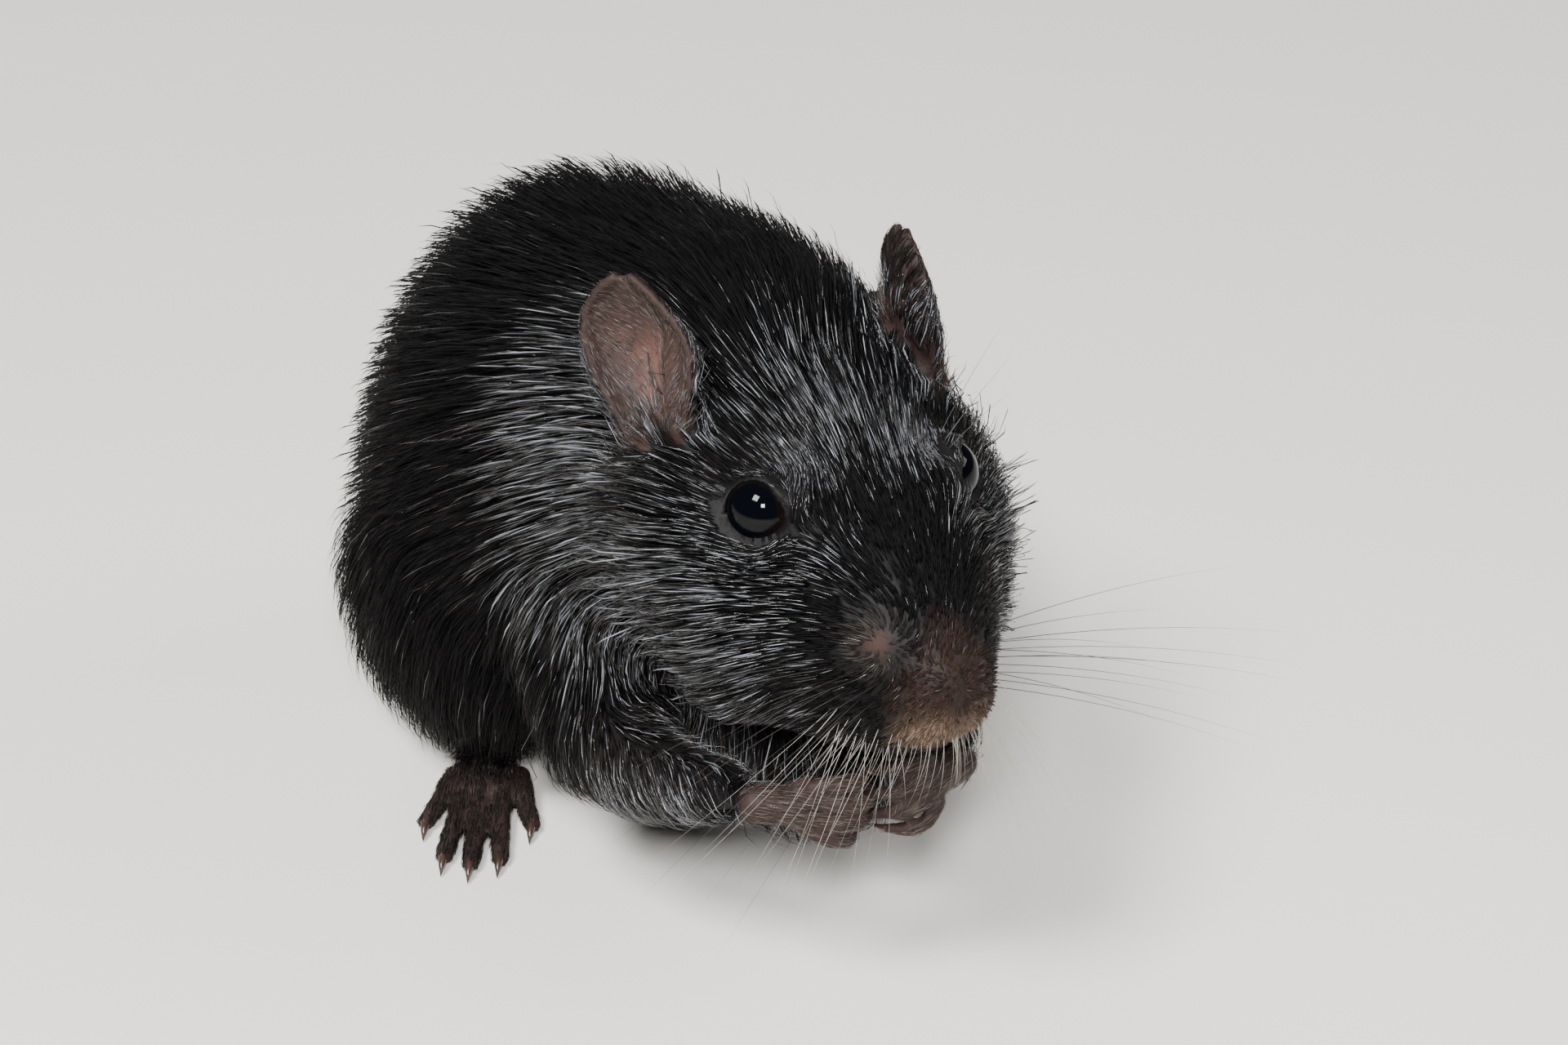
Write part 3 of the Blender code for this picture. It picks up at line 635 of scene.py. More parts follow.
for side, sign in SIDES:
    centre, axis, corner, upper = eye_space(side, sign)
    nasal = near(points, centre + (axis * 0.25 + corner * 3.0) * MM, 0.3, 0.6)
    skin_marks[:, 2] = np.maximum(skin_marks[:, 2], nasal)
add_attribute(skin.data, "marks", skin_marks)
add_attribute(skin.data, "dark", np.repeat(dark[:, None], 4, axis=1))


def linear(hex_colour):
    """An sRGB colour such as "#1a1412" as linear light."""
    parts = [int(hex_colour[i:i + 2], 16) / 255 for i in (1, 3, 5)]
    return (*[c / 12.92 if c <= 0.04045 else ((c + 0.055) / 1.055) ** 2.4 for c in parts], 1.0)


def fill(material, made, inputs):
    """Gives a node's sockets, each by its name or number, a value or a link from another socket."""
    for key, value in dict(inputs).items():
        if isinstance(value, bpy.types.NodeSocket):
            material.node_tree.links.new(value, made.inputs[key])
        else:
            made.inputs[key].default_value = value


def node(material, kind, inputs=(), **settings):
    """Adds a shader node with its settings and its sockets filled."""
    made = material.node_tree.nodes.new("ShaderNode" + kind)
    for key, value in settings.items():
        setattr(made, key, value)
    fill(material, made, inputs)
    return made


def new_material(name, **values):
    """A material and its shader, with these values set on it."""
    material = bpy.data.materials.new(name)
    material.use_nodes = True
    shader = material.node_tree.nodes["Principled BSDF"]
    fill(material, shader, {key.replace("_", " "): value for key, value in values.items()})
    return material, shader


def stored(material, name):
    """The four numbers that the piece's vertices hold under a name."""
    own = node(material, "Attribute", attribute_name=name)
    return [*node(material, "SeparateColor", {0: own.outputs["Color"]}).outputs, own.outputs["Alpha"]]


def layered(material, *layers):
    """Colours laid over one another, each by a share, and each from one tone to another by a shade."""
    colour = linear("#000000")
    for share, shade, low, high in layers:
        tone = node(material, "Mix", {0: shade, 6: linear(low), 7: linear(high)}, data_type="RGBA").outputs[2]
        colour = node(material, "Mix", {0: share, 6: colour, 7: tone}, data_type="RGBA").outputs[2]
    return colour


# Living skin: soft, matt with a faint oily shine, mottled by the blood under it and finely lined.
hide, shader = new_material(
    "bare skin", Roughness=0.6, Specular_IOR_Level=0.15,
    Subsurface_Weight=0.08, Subsurface_Scale=0.0008, Subsurface_Radius=(1.0, 0.35, 0.2))
place = node(hide, "TexCoord").outputs["Object"]
brown, grey, pink, beige = stored(hide, "marks")
blotch = node(hide, "TexNoise", {"Vector": place, "Scale": 1 / (1.1 * MM), "Detail": 4.0}).outputs["Fac"]
lines = node(hide, "TexVoronoi", {"Vector": place, "Scale": 1 / (0.3 * MM)}, feature="SMOOTH_F1").outputs[0]
under_fur = layered(
    hide,
    (1.0, 0.0, "#080707", "#080707"),
    (brown, 0.0, "#1d1411", "#1d1411"),
    (grey, 0.0, "#161211", "#161211"),
    (beige, 0.0, "#4a3b2e", "#4a3b2e"),
)
flesh = layered(
    hide,
    (1.0, blotch, "#45302a", "#64473f"),
    (stored(hide, "dark")[0], blotch, "#1c1414", "#2f2420"),
)
grain = node(hide, "Bump", {"Height": lines, "Distance": 0.06 * MM, "Strength": 0.6}).outputs["Normal"]
colour = node(hide, "Mix", {0: pink, 6: under_fur, 7: flesh}, data_type="RGBA").outputs[2]
fill(hide, shader, {"Base Color": colour, "Normal": grain})
skin.data.materials.append(hide)
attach(skin, "root")
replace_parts(skin, *REPLACED)

# ---------- the lie of the coat
# The coat grows back from the nose over the head and down the cheeks, runs from the neck to the
# rump and down the flanks, down each limb to its paw, and along the tail to its tip.

flow = np.zeros_like(points)


def aim(mask, direction):
    """Lets the hairs where mask is true point one way, or each its own."""
    flow[mask] = direction[mask] if np.ndim(direction) == 2 else direction


def along_skin(vectors):
    """The directions of these vectors, laid flat on the skin."""
    return unit(vectors - normals * np.sum(vectors * normals, axis=1, keepdims=True))


aside, high = (points - arr(under_shoulders))[:, 0] / MM, points[:, 2] / MM
flank = np.clip(np.abs(aside) / 18, 0, 1)
belly = np.clip((16 - high) / 8, 0, 1)[:, None]
chest = np.clip((-(points[:, 1] - on_body(0, -14, 0).y) / MM) / 8, 0, 1) * np.clip((30 - high) / 8, 0, 1)
trunk_flow = np.stack([np.sign(aside) * 0.12 * flank, np.ones(len(points)), -0.75 * flank - 0.1], axis=1)
trunk_flow = trunk_flow * (1 - belly) + arr((0, 0.5, -0.9)) * belly
trunk_flow = trunk_flow * (1 - chest[:, None]) + arr((0, -0.25, -1.0)) * chest[:, None]
cheek = np.clip(np.abs(head_out) / 12, 0, 1)
head_flow = unit(points - arr(on_head(0, -20.0, -7.0))) + np.outer(cheek, (0, 0.25, -0.42))
aim(of["trunk"] | of["neck"], trunk_flow)
aim(of["head"] | of["lid"], head_flow)
aim(of["upper_arm"], arr((0, 0.05, -1.0)))
aim(of["thigh"], arr((0, 0.15, -1.0)))
for side, sign in SIDES:
    own = np.sign(aside) == sign
    wrist, elbow = arr(on_body(*HAND_PLACE[side][0])), arr(on_body(14.5 * sign, -19, 13))
    aim(of["forearm"] & own, unit(wrist - elbow) * 0.75 + arr((0, 0, -0.75)))
    own_hand = np.sign(points[:, 0] - on_body(-5, 0, 0).x) == sign  # they meet right of the body's middle
    aim(of["hand"] & own_hand, unit(arr(hand_space(side).to_3x3() @ Vector((0, 1, 0)))))
    aim(of["foot"] & own, unit(arr(foot_space(side, sign).to_3x3() @ Vector((0, -1, 0)))))
    foot, length, up, across, facing = (arr(part) for part in ear_space(side))
    u, v, wide, out = ear_place[side]
    valley = np.interp(v, EAR_HEIGHTS, EAR_VALLEY) * np.interp(v, EAR_HEIGHTS, EAR_FRONT)
    outward = np.clip((wide - valley) / 1.5, -1, 1)[:, None] * across
    aim(own_ear[side], up * 0.8 + outward * 0.75)

# The tail's middle line, through these places on the floor.
TAIL_LINE = [(0, 15), (0, 24), (3, 35), (12, 45), (25, 48), (38, 42), (45, 31), (45, 20), (40, 10), (35, 4)]
tail_line = np.array([arr(on_body(x, y, 3)) for x, y in TAIL_LINE])
stations = np.linspace(0, len(TAIL_LINE) - 1, 73)
tail_line = np.array([np.interp(stations, range(len(TAIL_LINE)), column) for column in tail_line.T]).T
for _ in range(40):
    tail_line[1:-1] = (tail_line[:-2] + tail_line[1:-1] * 2 + tail_line[2:]) / 4
off_line = points[:, None, :2] - tail_line[None, :, :2]
nearest_station = np.argmin(np.linalg.norm(off_line, axis=2), axis=1)
aim(of["tail"], unit(np.gradient(tail_line, axis=0))[nearest_station])
flow = spread(unit(flow), 30) * furred[:, None] + spread(unit(flow), 8) * ~furred[:, None]
flow = along_skin(flow)


def parted(flow, centre, inner, share):
    """Turns the lie aside round a place, as water parts round a stone."""
    away = along_skin(points - arr(centre))
    inward = np.minimum(np.sum(flow * away, axis=1), share)
    weight = np.clip((inner / distances(points, centre)) ** 2, 0, 1)
    return unit(flow - away * ((inward - share) * weight)[:, None])


for centre in eye_centre.values():
    flow = parted(flow, centre, 4.0, 0.0)
flow = parted(flow, WHORL, 2.6, 0.9)

# ---------- the coat
# Black guard hairs, each a tapering spike thicker in its middle, stand over shorter hairs in small
# pointed tufts that overlap like thatch, short as velvet on the nose and the ears. They are two to
# three times as wide as real hairs, so that they show.

COAT = {  # length mm, tufts per mm2, half width mm, foot of a tuft mm, share that its tips draw together
    "trunk": (7.2, 2.3, 0.050, 0.42, 0.35),
    "neck": (6.6, 2.8, 0.048, 0.38, 0.35),
    "upper_arm": (5.4, 2.6, 0.053, 0.36, 0.35),
    "forearm": (4.4, 3.2, 0.048, 0.32, 0.30),
    "thigh": (6.4, 2.4, 0.050, 0.38, 0.35),
    "tail": (2.8, 3.6, 0.045, 0.34, 0.30),
    "ear": (1.2, 10.0, 0.014, 0.25, 0.0),
    "hand": (1.9, 6.0, 0.017, 0.25, 0.0),
    "foot": (1.8, 6.6, 0.036, 0.25, 0.0),
    "lid": (1.7, 14.0, 0.030, 0.15, 0.0),
    "head": (3.4, 4.8, 0.045, 0.28, 0.25),
}
HEAD_COAT = (  # the first four of these on the head, at places further and further back from the nose
    ((0, 4, 7, 12, 18, 26, 36), (0.5, 0.75, 1.5, 2.7, 4.0, 5.4, 6.6)),
    ((0, 6, 12, 20, 36), (16.0, 9.0, 6.2, 5.2, 3.2)),
    ((0, 6, 20, 36), (0.025, 0.034, 0.042, 0.049)),
    ((0, 8, 20, 36), (0.14, 0.18, 0.26, 0.36)),
)
BY_THE_EYE = ((0.38, 0.6, 1), (3.2, 2.2, 1), (0.62, 0.78, 1), (0.6, 0.8, 1))  # what multiplies them there
growth = np.array([COAT[name] for name in REGIONS])[region]
head = of["head"]
for column, (places, values) in enumerate(HEAD_COAT):
    by_the_eye = np.interp(eye_distances(points), (3.2, 4.2, 6.5), BY_THE_EYE[column])
    growth[head, column] = (np.interp(from_nose, places, values) * by_the_eye)[head]
for side, own in own_ear.items():
    own = ear_back & own
    v = ear_place[side][1][own]
    growth[own, 0] = np.interp(v, [0, 0.3, 0.65, 1.0], [5.0, 4.2, 2.4, 1.0])
    growth[own, 1:3] = (8.0, 0.032)
    depth[own] = np.interp(v, [0, 0.35, 0.7], [1.0, 0.5, 0.1])
growth = spread(growth, 4)
growth[of["tail"], 0] *= np.interp(nearest_station, [0, 48, 72], [1.0, 1.0, 2.2])[of["tail"]]

skin_tree = BVHTree.FromPolygons(points.tolist(), [tuple(p.vertices) for p in skin.data.polygons])
skin.data.calc_loop_triangles()
triangles = array_of(skin.data.loop_triangles, "vertices", 3, np.int32)
corners = points[triangles]
slant = np.cross(corners[:, 1] - corners[:, 0], corners[:, 2] - corners[:, 0])
wanted = np.linalg.norm(slant, axis=1) / 2 / MM**2 * growth[triangles, 1].mean(axis=1)
wanted[corners[:, :, 2].mean(axis=1) < 0.35 * MM] = 0  # the soles are bare
random = np.random.default_rng(7)
tufts = int(wanted.sum())
picked = triangles[np.sort(np.searchsorted(np.cumsum(wanted), random.random(tufts) * wanted.sum()))]
weights = random.dirichlet((1, 1, 1), tufts)


def at_roots(values):
    """What the skin's vertices hold, at each tuft's root."""
    return np.einsum("nk,nk...->n...", weights, values[picked])


root, root_growth = at_roots(points), at_roots(growth)
root_normal, root_flow = unit(at_roots(normals)), unit(at_roots(flow))
root_region = region[picked[:, 0]]
tuft_length = root_growth[:, 0] * random.uniform(0.75, 1.15, tufts) * MM
# How high each tuft's middle line lies over the skin.
lie = np.maximum(at_roots(depth), 0.14) * random.uniform(0.72, 1.06, tufts) * MM
lie = np.maximum(lie * np.interp(eye_distances(root), [3.1, 5.2], [0.35, 1.0]), 0.12 * MM)
lie[random.random(tufts) < 0.03] *= 1.4  # strays
for side, sign in SIDES:  # ruffled round the ears, on the cheeks and over the eyes
    cheek = near(root, on_head(13 * sign, 2, -7), 4, 11)
    centre, axis, corner, upper = eye_space(side, sign)
    brow = centre + (axis * 1.2 + corner * 1.6 + upper * 3.2) * MM
    lie *= 1 + 0.9 * near(root, on_head(*EAR_FOOT[side]), 2, 6)
    lie *= 1 + cheek * (0.25 + 1.6 * (random.random(tufts) < 0.12))
    lie *= 1 + 0.9 * near(root, brow, 1.2, 3.0)
swerve = random.normal(0, 0.045, tufts)  # how far each turns from the lie at each step, in radians
face_flow = np.array([flow[list(p.vertices)].mean(axis=0) for p in skin.data.polygons])


def turned_by(direction, axis, angle):
    """Directions turned about axes by angles."""
    c, s = np.cos(angle)[:, None], np.sin(angle)[:, None]
    along = axis * np.sum(axis * direction, axis=1, keepdims=True)
    return direction * c + np.cross(axis, direction) * s + along * (1 - c)


def follow(lengths):
    """The middle line of each tuft, four points that follow the skin and its lie, and their normals."""
    line, face_up = np.empty((tufts, 4, 3)), np.empty((tufts, 4, 3))
    line[:, 0], face_up[:, 0] = root - root_normal * 0.12 * MM, root_normal
    foot, way = root.copy(), turned_by(root_flow, root_normal, swerve)
    for step, rise in ((1, 0.52), (2, 0.85), (3, 1.08)):
        ahead = foot + way * lengths[:, None] / 3
        for i in range(tufts):
            foot[i], face_up[i, step], face, far = skin_tree.find_nearest(ahead[i])
            way[i] = face_flow[face]
        line[:, step] = foot + face_up[:, step] * (lie * rise)[:, None]
        way = turned_by(unit(way), face_up[:, step], swerve)
    return line, face_up


line, face_up = follow(tuft_length)
keep = np.ones(tufts, bool)
reach_limit = np.ones(tufts)  # hairs end before they cross an eye
for side, sign in SIDES:
    for step in (3, 2, 1):
        outside, far = from_lids(line[:, step], side, sign)
        reach_limit[(outside < 1) & (far < 3.3 + np.clip(-outside - 12, 0, 10) * 0.09)] = (step - 0.4) / 3
    outside, far = from_lids(root, side, sign)
    keep &= (outside > 3) | (far > 3.35)
keep &= reach_limit > 0.4
# No tuft is kinked, and none grows through an ear to its other side.
segments = unit(np.diff(line, axis=1))
keep &= np.sum(segments[:, 1:] * segments[:, :-1], axis=2).min(axis=1) > 0.3
keep &= np.sum(face_up[:, 1:] * face_up[:, :1], axis=2).min(axis=1) > -0.3
line[:, :, 2] = np.maximum(line[:, :, 2], 0.15 * MM)

# The unwrap of the skin's own shape, on a light copy of it, tells each tuft its patch.
PATCH = 0.003
light = put("unwrap", skin.data.copy())
light.modifiers.new("thin", "DECIMATE").ratio = 0.05
settle(light)
for obj in bpy.context.selected_objects:
    obj.select_set(False)
bpy.context.view_layer.objects.active = light
light.select_set(True)
bpy.ops.object.mode_set(mode="EDIT")
bpy.ops.mesh.select_all(action="SELECT")
bpy.ops.uv.smart_project(angle_limit=math.radians(60), island_margin=0.004)
bpy.ops.object.mode_set(mode="OBJECT")
light.data.calc_loop_triangles()
light_triangles = array_of(light.data.loop_triangles, "vertices", 3, np.int32)
light_loops = array_of(light.data.loop_triangles, "loops", 3, np.int32)
light_points = array_of(light.data.vertices, "co", 3)
light_uv = array_of(light.data.uv_layers.active.data, "uv", 2)
light_tree = BVHTree.FromPolygons(light_points.tolist(), light_triangles.tolist())
found = [light_tree.find_nearest(p)[:3:2] for p in root]
hit, which = np.array([tuple(place) for place, face in found]), np.array([face for place, face in found])
a, b, c = (light_points[light_triangles[which, k]] for k in range(3))
whole, share_b, share_c = (
    np.linalg.norm(np.cross(one, other), axis=1)
    for one, other in ((b - a, c - a), (hit - a, c - a), (b - a, hit - a)))
share_b, share_c = share_b / whole, share_c / whole
ua, ub, uc = (light_uv[light_loops[which, k]] for k in range(3))
patch = ua * (1 - share_b - share_c)[:, None] + ub * share_b[:, None] + uc * share_c[:, None]
bpy.data.objects.remove(light)

root_marks = markings(root, at_roots(bare))
root_marks[:, 2] *= 1 - 0.95 * at_roots(ear_back)
root_marks[:, 2] *= np.where(root_region == REGIONS.index("foot"), 0.08, 1.0)
tuft_shade = random.random(tufts)
# Where the hairs get a painted silver highlight in their colour, and where guard hairs stay glossy.
root_painted_sheen_and_gloss = painted_sheen_and_gloss(root)

# Shares of a hair's length and its girth there, how far of its tuft's line it reaches, how much
# higher than the line it lies, as a share of the line's height, and how wide it is.
GUARD = ((0, 0.3, 0.7, 1), (0, 0.85, 1, 0), (0.9, 1), (0.05, 0.3), 1.1)
UNDER = ((0, 0.5, 1), (0, 1, 0), (0.55, 0.9), (-0.45, 0.0), 0.95)


def spikes(tuft, own, hairs, stations, girths, reach, high, thick):
    """Closed tapering hairs; own says which of its tuft's hairs each is."""
    n = len(tuft)
    around = own * 2.4 + random.uniform(0, 6.3, n)
    outwards = np.sqrt((own + 0.5) / hairs) * root_growth[tuft, 3] * MM
    side_way = unit(np.cross(root_flow[tuft], root_normal[tuft]))
    shift = side_way * np.cos(around)[:, None] + root_flow[tuft] * np.sin(around)[:, None]
    shift *= outwards[:, None]
    stagger = random.normal(0, 0.025, n)[:, None] * tuft_length[tuft, None] * side_way
    reach = random.uniform(*reach, n) * reach_limit[tuft]
    half = root_growth[tuft, 2] * random.uniform(0.75, 1.25, n) * thick * MM
    taller = (random.uniform(*high, n) * lie[tuft])[:, None]
    roll = random.normal(0, 0.3, n)[:, None]
    gather = root_growth[tuft, 4][:, None]
    rings = []
    for t, girth in zip(stations, girths):
        along = np.clip(t * reach, 0, 1) * 3
        low = np.minimum(along.astype(int), 2)
        part = (along - low)[:, None]
        middle = line[tuft, low] * (1 - part) + line[tuft, low + 1] * part
        out = unit(face_up[tuft, low] * (1 - part) + face_up[tuft, low + 1] * part)
        way = unit(line[tuft, low + 1] - line[tuft, low])
        across = unit(np.cross(way, out))
        middle = middle + shift * (1 - gather * t) + stagger * t + out * taller * min(1, 2 * t)
        if girth == 0:
            rings.append(middle[:, None, :])
            continue
        out = unit(np.cross(across, way))
        across, out = across * np.cos(roll) + out * np.sin(roll), out * np.cos(roll) - across * np.sin(roll)
        wide = (half * girth)[:, None]
        ring = (middle - across * wide, middle + out * wide * 0.45, middle + across * wide)
        rings.append(np.stack(ring, axis=1))
    verts = np.concatenate(rings, axis=1)
    verts[:, :, 2] = np.maximum(verts[:, :, 2], 0.02 * MM)
    last = verts.shape[1] - 1
    faces = [(0, 1 + k, 1 + (k + 1) % 3) for k in range(3)]
    for ring in range(1, last - 3, 3):
        for k in range(3):
            m = (k + 1) % 3
            faces += [(ring + k, ring + 3 + k, ring + 3 + m), (ring + k, ring + 3 + m, ring + m)]
    faces += [(last, last - 3 + (k + 1) % 3, last - 3 + k) for k in range(3)]
    share = np.array([t for t, girth in zip(stations, girths) for _ in range(3 if girth else 1)])
    corner = np.array([c for girth in girths for c in ((0.0, 0.5, 1.0) if girth else (0.5,))])
    return verts, np.array(faces), share, (own[:, None] + 0.9 * corner) / hairs


def finish_piece(name, mesh, slot_name, *materials):
    """Puts a piece of the animal in the scene, with its materials."""
    for material in materials:
        mesh.materials.append(material)
    piece = put(name, mesh)
    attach(piece, "root")
    return piece


def grow(name, tuft, hairs):
    """One piece of coat: each tuft's long guard hair and the shorter hairs under it."""
    under, which = np.repeat(tuft, hairs - 1), np.tile(np.arange(1, hairs), len(tuft))
    guards = spikes(tuft, np.zeros(len(tuft)), hairs, *GUARD)
    lower = spikes(under, which, hairs, *UNDER)
    coordinates, indices, uvs, strands, tints, kind_of_face, first = [], [], [], [], [], [], 0
    for kind, (tuft, (verts, faces, share, column)) in enumerate(((tuft, guards), (under, lower))):
        n, per = verts.shape[:2]
        own_shade = random.random(n)
        # A share of the hairs there get a painted silver highlight in their colour, standing in for their
        # shine.
        painted_glint = random.random(n) < root_painted_sheen_and_gloss[tuft] * (0.36 - 0.26 * kind)
        dull = random.random(n) > 0.05 + 0.95 * root_painted_sheen_and_gloss[tuft]
        kind_of_face.append(np.repeat(np.maximum(dull, kind).astype(np.int32), len(faces)))
        coordinates.append(verts.reshape(-1, 3))
        indices.append((first + np.arange(n)[:, None, None] * per + faces[None]).reshape(-1, 3))
        first += n * per
        along = np.tile(share, (n, 1))[:, :, None]
        uv = patch[tuft][:, None, :] + (np.concatenate([column[:, :, None], along], axis=2) - 0.5) * PATCH
        uvs.append(np.clip(uv, 0, 1).reshape(-1, 2))
        of_hair = np.stack([tuft_shade[tuft], own_shade, painted_glint * random.uniform(0.5, 1, n)], axis=1)
        strand = np.concatenate([along, np.repeat(of_hair[:, None, :], per, axis=1)], axis=2)
        strands.append(strand.reshape(-1, 4))
        tints.append(np.repeat(root_marks[tuft], per, axis=0))
    index = np.concatenate(indices)
    mesh = bpy.data.meshes.new(name)
    mesh.vertices.add(first)
    mesh.vertices.foreach_set("co", np.concatenate(coordinates).astype(np.float32).ravel())
    mesh.loops.add(index.size)
    mesh.loops.foreach_set("vertex_index", index.reshape(-1).astype(np.int32))
    mesh.polygons.add(len(index))
    mesh.polygons.foreach_set("loop_start", np.arange(0, index.size, 3, dtype=np.int32))
    mesh.update(calc_edges=True)
    layer = mesh.uv_layers.new(name="OFBake")
    layer.data.foreach_set("uv", np.concatenate(uvs)[index.reshape(-1)].astype(np.float32).ravel())
    add_attribute(mesh, "strand", np.concatenate(strands))
    add_attribute(mesh, "marks", np.concatenate(tints))
    finish_piece(name, mesh, "black_fur", guard_hair, under_hair)
    mesh.polygons.foreach_set("material_index", np.concatenate(kind_of_face))


def hair_material(name, roughness, gloss):
    """Hair coloured by its own place in the markings, darker at its root, with a painted silver highlight
    along its middle where it glints.
    """
    material, shader = new_material(name, IOR=1.55, Specular_IOR_Level=gloss)
    along, of_tuft, of_hair, painted_glint = stored(material, "strand")
    brown, grey, pink, beige = stored(material, "marks")
    rise, fall, from_root = (
        node(material, "MapRange", {0: along, 1: low, 2: high, 3: start, 4: end}).outputs[0]
        for low, high, start, end in ((0.2, 0.42, 0.0, 1.0), (0.66, 0.95, 1.0, 0.0), (0.0, 0.5, 0.4, 1.0)))
    for share in (rise, fall):
        painted_glint = node(material, "Math", {0: painted_glint, 1: share}, operation="MULTIPLY").outputs[0]
    colour = layered(
        material,
        (1.0, of_tuft, "#020202", "#080708"),
        (grey, of_tuft, "#1f1c1b", "#3d3835"),
        (brown, of_tuft, "#1a110e", "#392a24"),
        (beige, of_tuft, "#513f33", "#84705f"),
        (pink, of_hair, "#140f0d", "#6a5f58"),
        # the painted silver highlight, along the middle of the glinting hairs
        (painted_glint, of_hair, "#393c41", "#8e9299"),
    )
    shaded = node(material, "Mix", {0: 1.0, 6: colour, 7: from_root}, data_type="RGBA", blend_type="MULTIPLY")
    velvet = node(material, "MapRange", {0: brown, 1: 0.0, 2: 1.0, 3: roughness, 4: 0.7})
    fill(material, shader, {"Base Color": shaded.outputs[2], "Roughness": velvet.outputs[0]})
    return material


# Guard hairs have smooth scales, so each shines in a thin bright line; the underfur is matt, and so are
# the guard hairs outside the places where a painted silver highlight is laid on some of them.
guard_hair = hair_material("black guard hair", 0.24, 0.7)
under_hair = hair_material("black underfur", 0.55, 0.08)

PIECES = {
    "head": ("head",), "neck": ("neck",), "trunk": ("trunk",), "thighs": ("thigh",),
    "arms": ("upper_arm", "forearm"), "tail": ("tail",), "paws_and_ears": ("ear", "hand", "foot", "lid"),
}
for name, members in PIECES.items():
    hairs = 3 if name == "paws_and_ears" else 5
    most = 195000 // (hairs * 6 + 6)  # tufts that a piece holds, so that it stays under 200,000 triangles
    rows = np.flatnonzero(keep & np.isin(root_region, [REGIONS.index(member) for member in members]))
    rows = rows[np.argsort(root[rows, 1], kind="stable")]
    for k, part in enumerate(np.array_split(rows, max(1, -(-len(rows) // most)))):
        grow("coat_%s_%d" % (name, k + 1), np.sort(part), hairs)

# ---------- the eyes
# Large wet globes, all but black: a glossy wet surface over a bluish black pupil that fills
# nearly all of it, with a thin dark brown ring of iris.

globe, shader = new_material("wet eye", Roughness=0.03, IOR=1.34, Specular_IOR_Level=0.24)
place = node(globe, "TexCoord").outputs["Object"]
fibres = node(globe, "TexNoise", {"Vector": place, "Scale": 1 / (0.4 * MM)}).outputs["Fac"]
gaze = stored(globe, "gaze")[0]
iris, rim = (
    node(globe, "MapRange", {0: gaze, 1: low, 2: high, 3: 1.0, 4: 0.0}).outputs[0]
    for low, high in ((0.62, 0.76), (0.36, 0.5)))
colour = layered(
    globe,
    (1.0, 0.0, "#030407", "#030407"),
    (iris, fibres, "#060404", "#140e0b"),
    (rim, 0.0, "#040303", "#040303"),
)
fill(globe, shader, {"Base Color": colour})
for side, sign in SIDES:
    centre, axis, corner, upper = eye_space(side, sign)
    bm = bmesh.new()
    bmesh.ops.create_uvsphere(bm, u_segments=64, v_segments=40, radius=EYE_RADIUS * MM)
    turn = axis.to_track_quat("Z", "Y").to_matrix().to_4x4()
    bmesh.ops.transform(bm, matrix=Matrix.Translation(centre) @ turn, verts=bm.verts)
    mesh = as_mesh(bm, "eyeball_" + side)
    away = unit(array_of(mesh.vertices, "co", 3) - arr(centre)) @ arr(axis)
    add_attribute(mesh, "gaze", np.repeat(away[:, None], 4, axis=1))
    mesh.shade_smooth()
    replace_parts(finish_piece("eyeball_" + side, mesh, "wet_eye", globe), "eye_" + side)

# ---------- claws and whiskers
# Dark horn claws, curved and sharp, grow from the end of every finger and toe. The whiskers are
# stiff tapering bristles: white ones hang from the lips, black ones stand out from the cheeks and
# over the eyes.


def horn(bm, path, radii, sides=6):
    """A tapering rod through a path of places, closed to a point at its far end."""
    loops, side = [], None
    for i, here in enumerate(path[:-1]):
        along = (path[i + 1] - path[max(i - 1, 0)]).normalized()
        side = (side - along * side.dot(along) if side else along.orthogonal()).normalized()
        up = along.cross(side)
        loops.append([
            bm.verts.new(here + (side * math.cos(a) + up * math.sin(a)) * radii[i] * MM)
            for a in (2 * math.pi * k / sides for k in range(sides))
        ])
    join_loops(bm, loops)
    bm.faces.new(loops[0][::-1])
    tip = bm.verts.new(path[-1])
    for k in range(sides):
        bm.faces.new((loops[-1][k], loops[-1][(k + 1) % sides], tip))


def horn_material(name, size, tones, **values):
    """Horn clouded between two tones, in clouds of this size in millimetres."""
    material, shader = new_material(name, **values)
    place = node(material, "TexCoord").outputs["Object"]
    cloud = node(material, "TexNoise", {"Vector": place, "Scale": 1 / (size * MM)}).outputs["Fac"]
    fill(material, shader, {"Base Color": layered(material, (1.0, cloud, *tones))})
    return material


def finish_horn(name, bm, slot_name, material):
    bmesh.ops.recalc_face_normals(bm, faces=bm.faces)
    mesh = as_mesh(bm, name)
    mesh.shade_smooth()
    finish_piece(name, mesh, slot_name, material)


# Where each claw bends, along the finger or toe and up from the middle of its last joint.
FINGER_CLAW = ((-0.1, 0.3), (0, -0.5), (-0.25, -1.2), (-0.8, -1.75))
TOE_CLAW = ((0.2, 0.1), (-0.6, 0.25), (-1.4, 0), (-2.1, -0.6))
bm = bmesh.new()
for side, sign in SIDES:
    tips = [(hand_space(side), finger[-1], FINGER_CLAW, (0.36, 0.33, 0.22)) for finger in FINGERS[:4]]
    tips += [(foot_space(side, sign), toe_stations(*toe)[-1], TOE_CLAW, (0.42, 0.38, 0.24)) for toe in TOES]
    for space, (x, y, z, radius), bends, radii in tips:
        horn(bm, [space @ Vector((x, y + on, z + up)) for on, up in bends], radii)
claw_horn = horn_material("dark claw horn", 0.5, ("#1a110e", "#43312a"), Roughness=0.3, IOR=1.54)
finish_horn("claws", bm, "bare_skin", claw_horn)


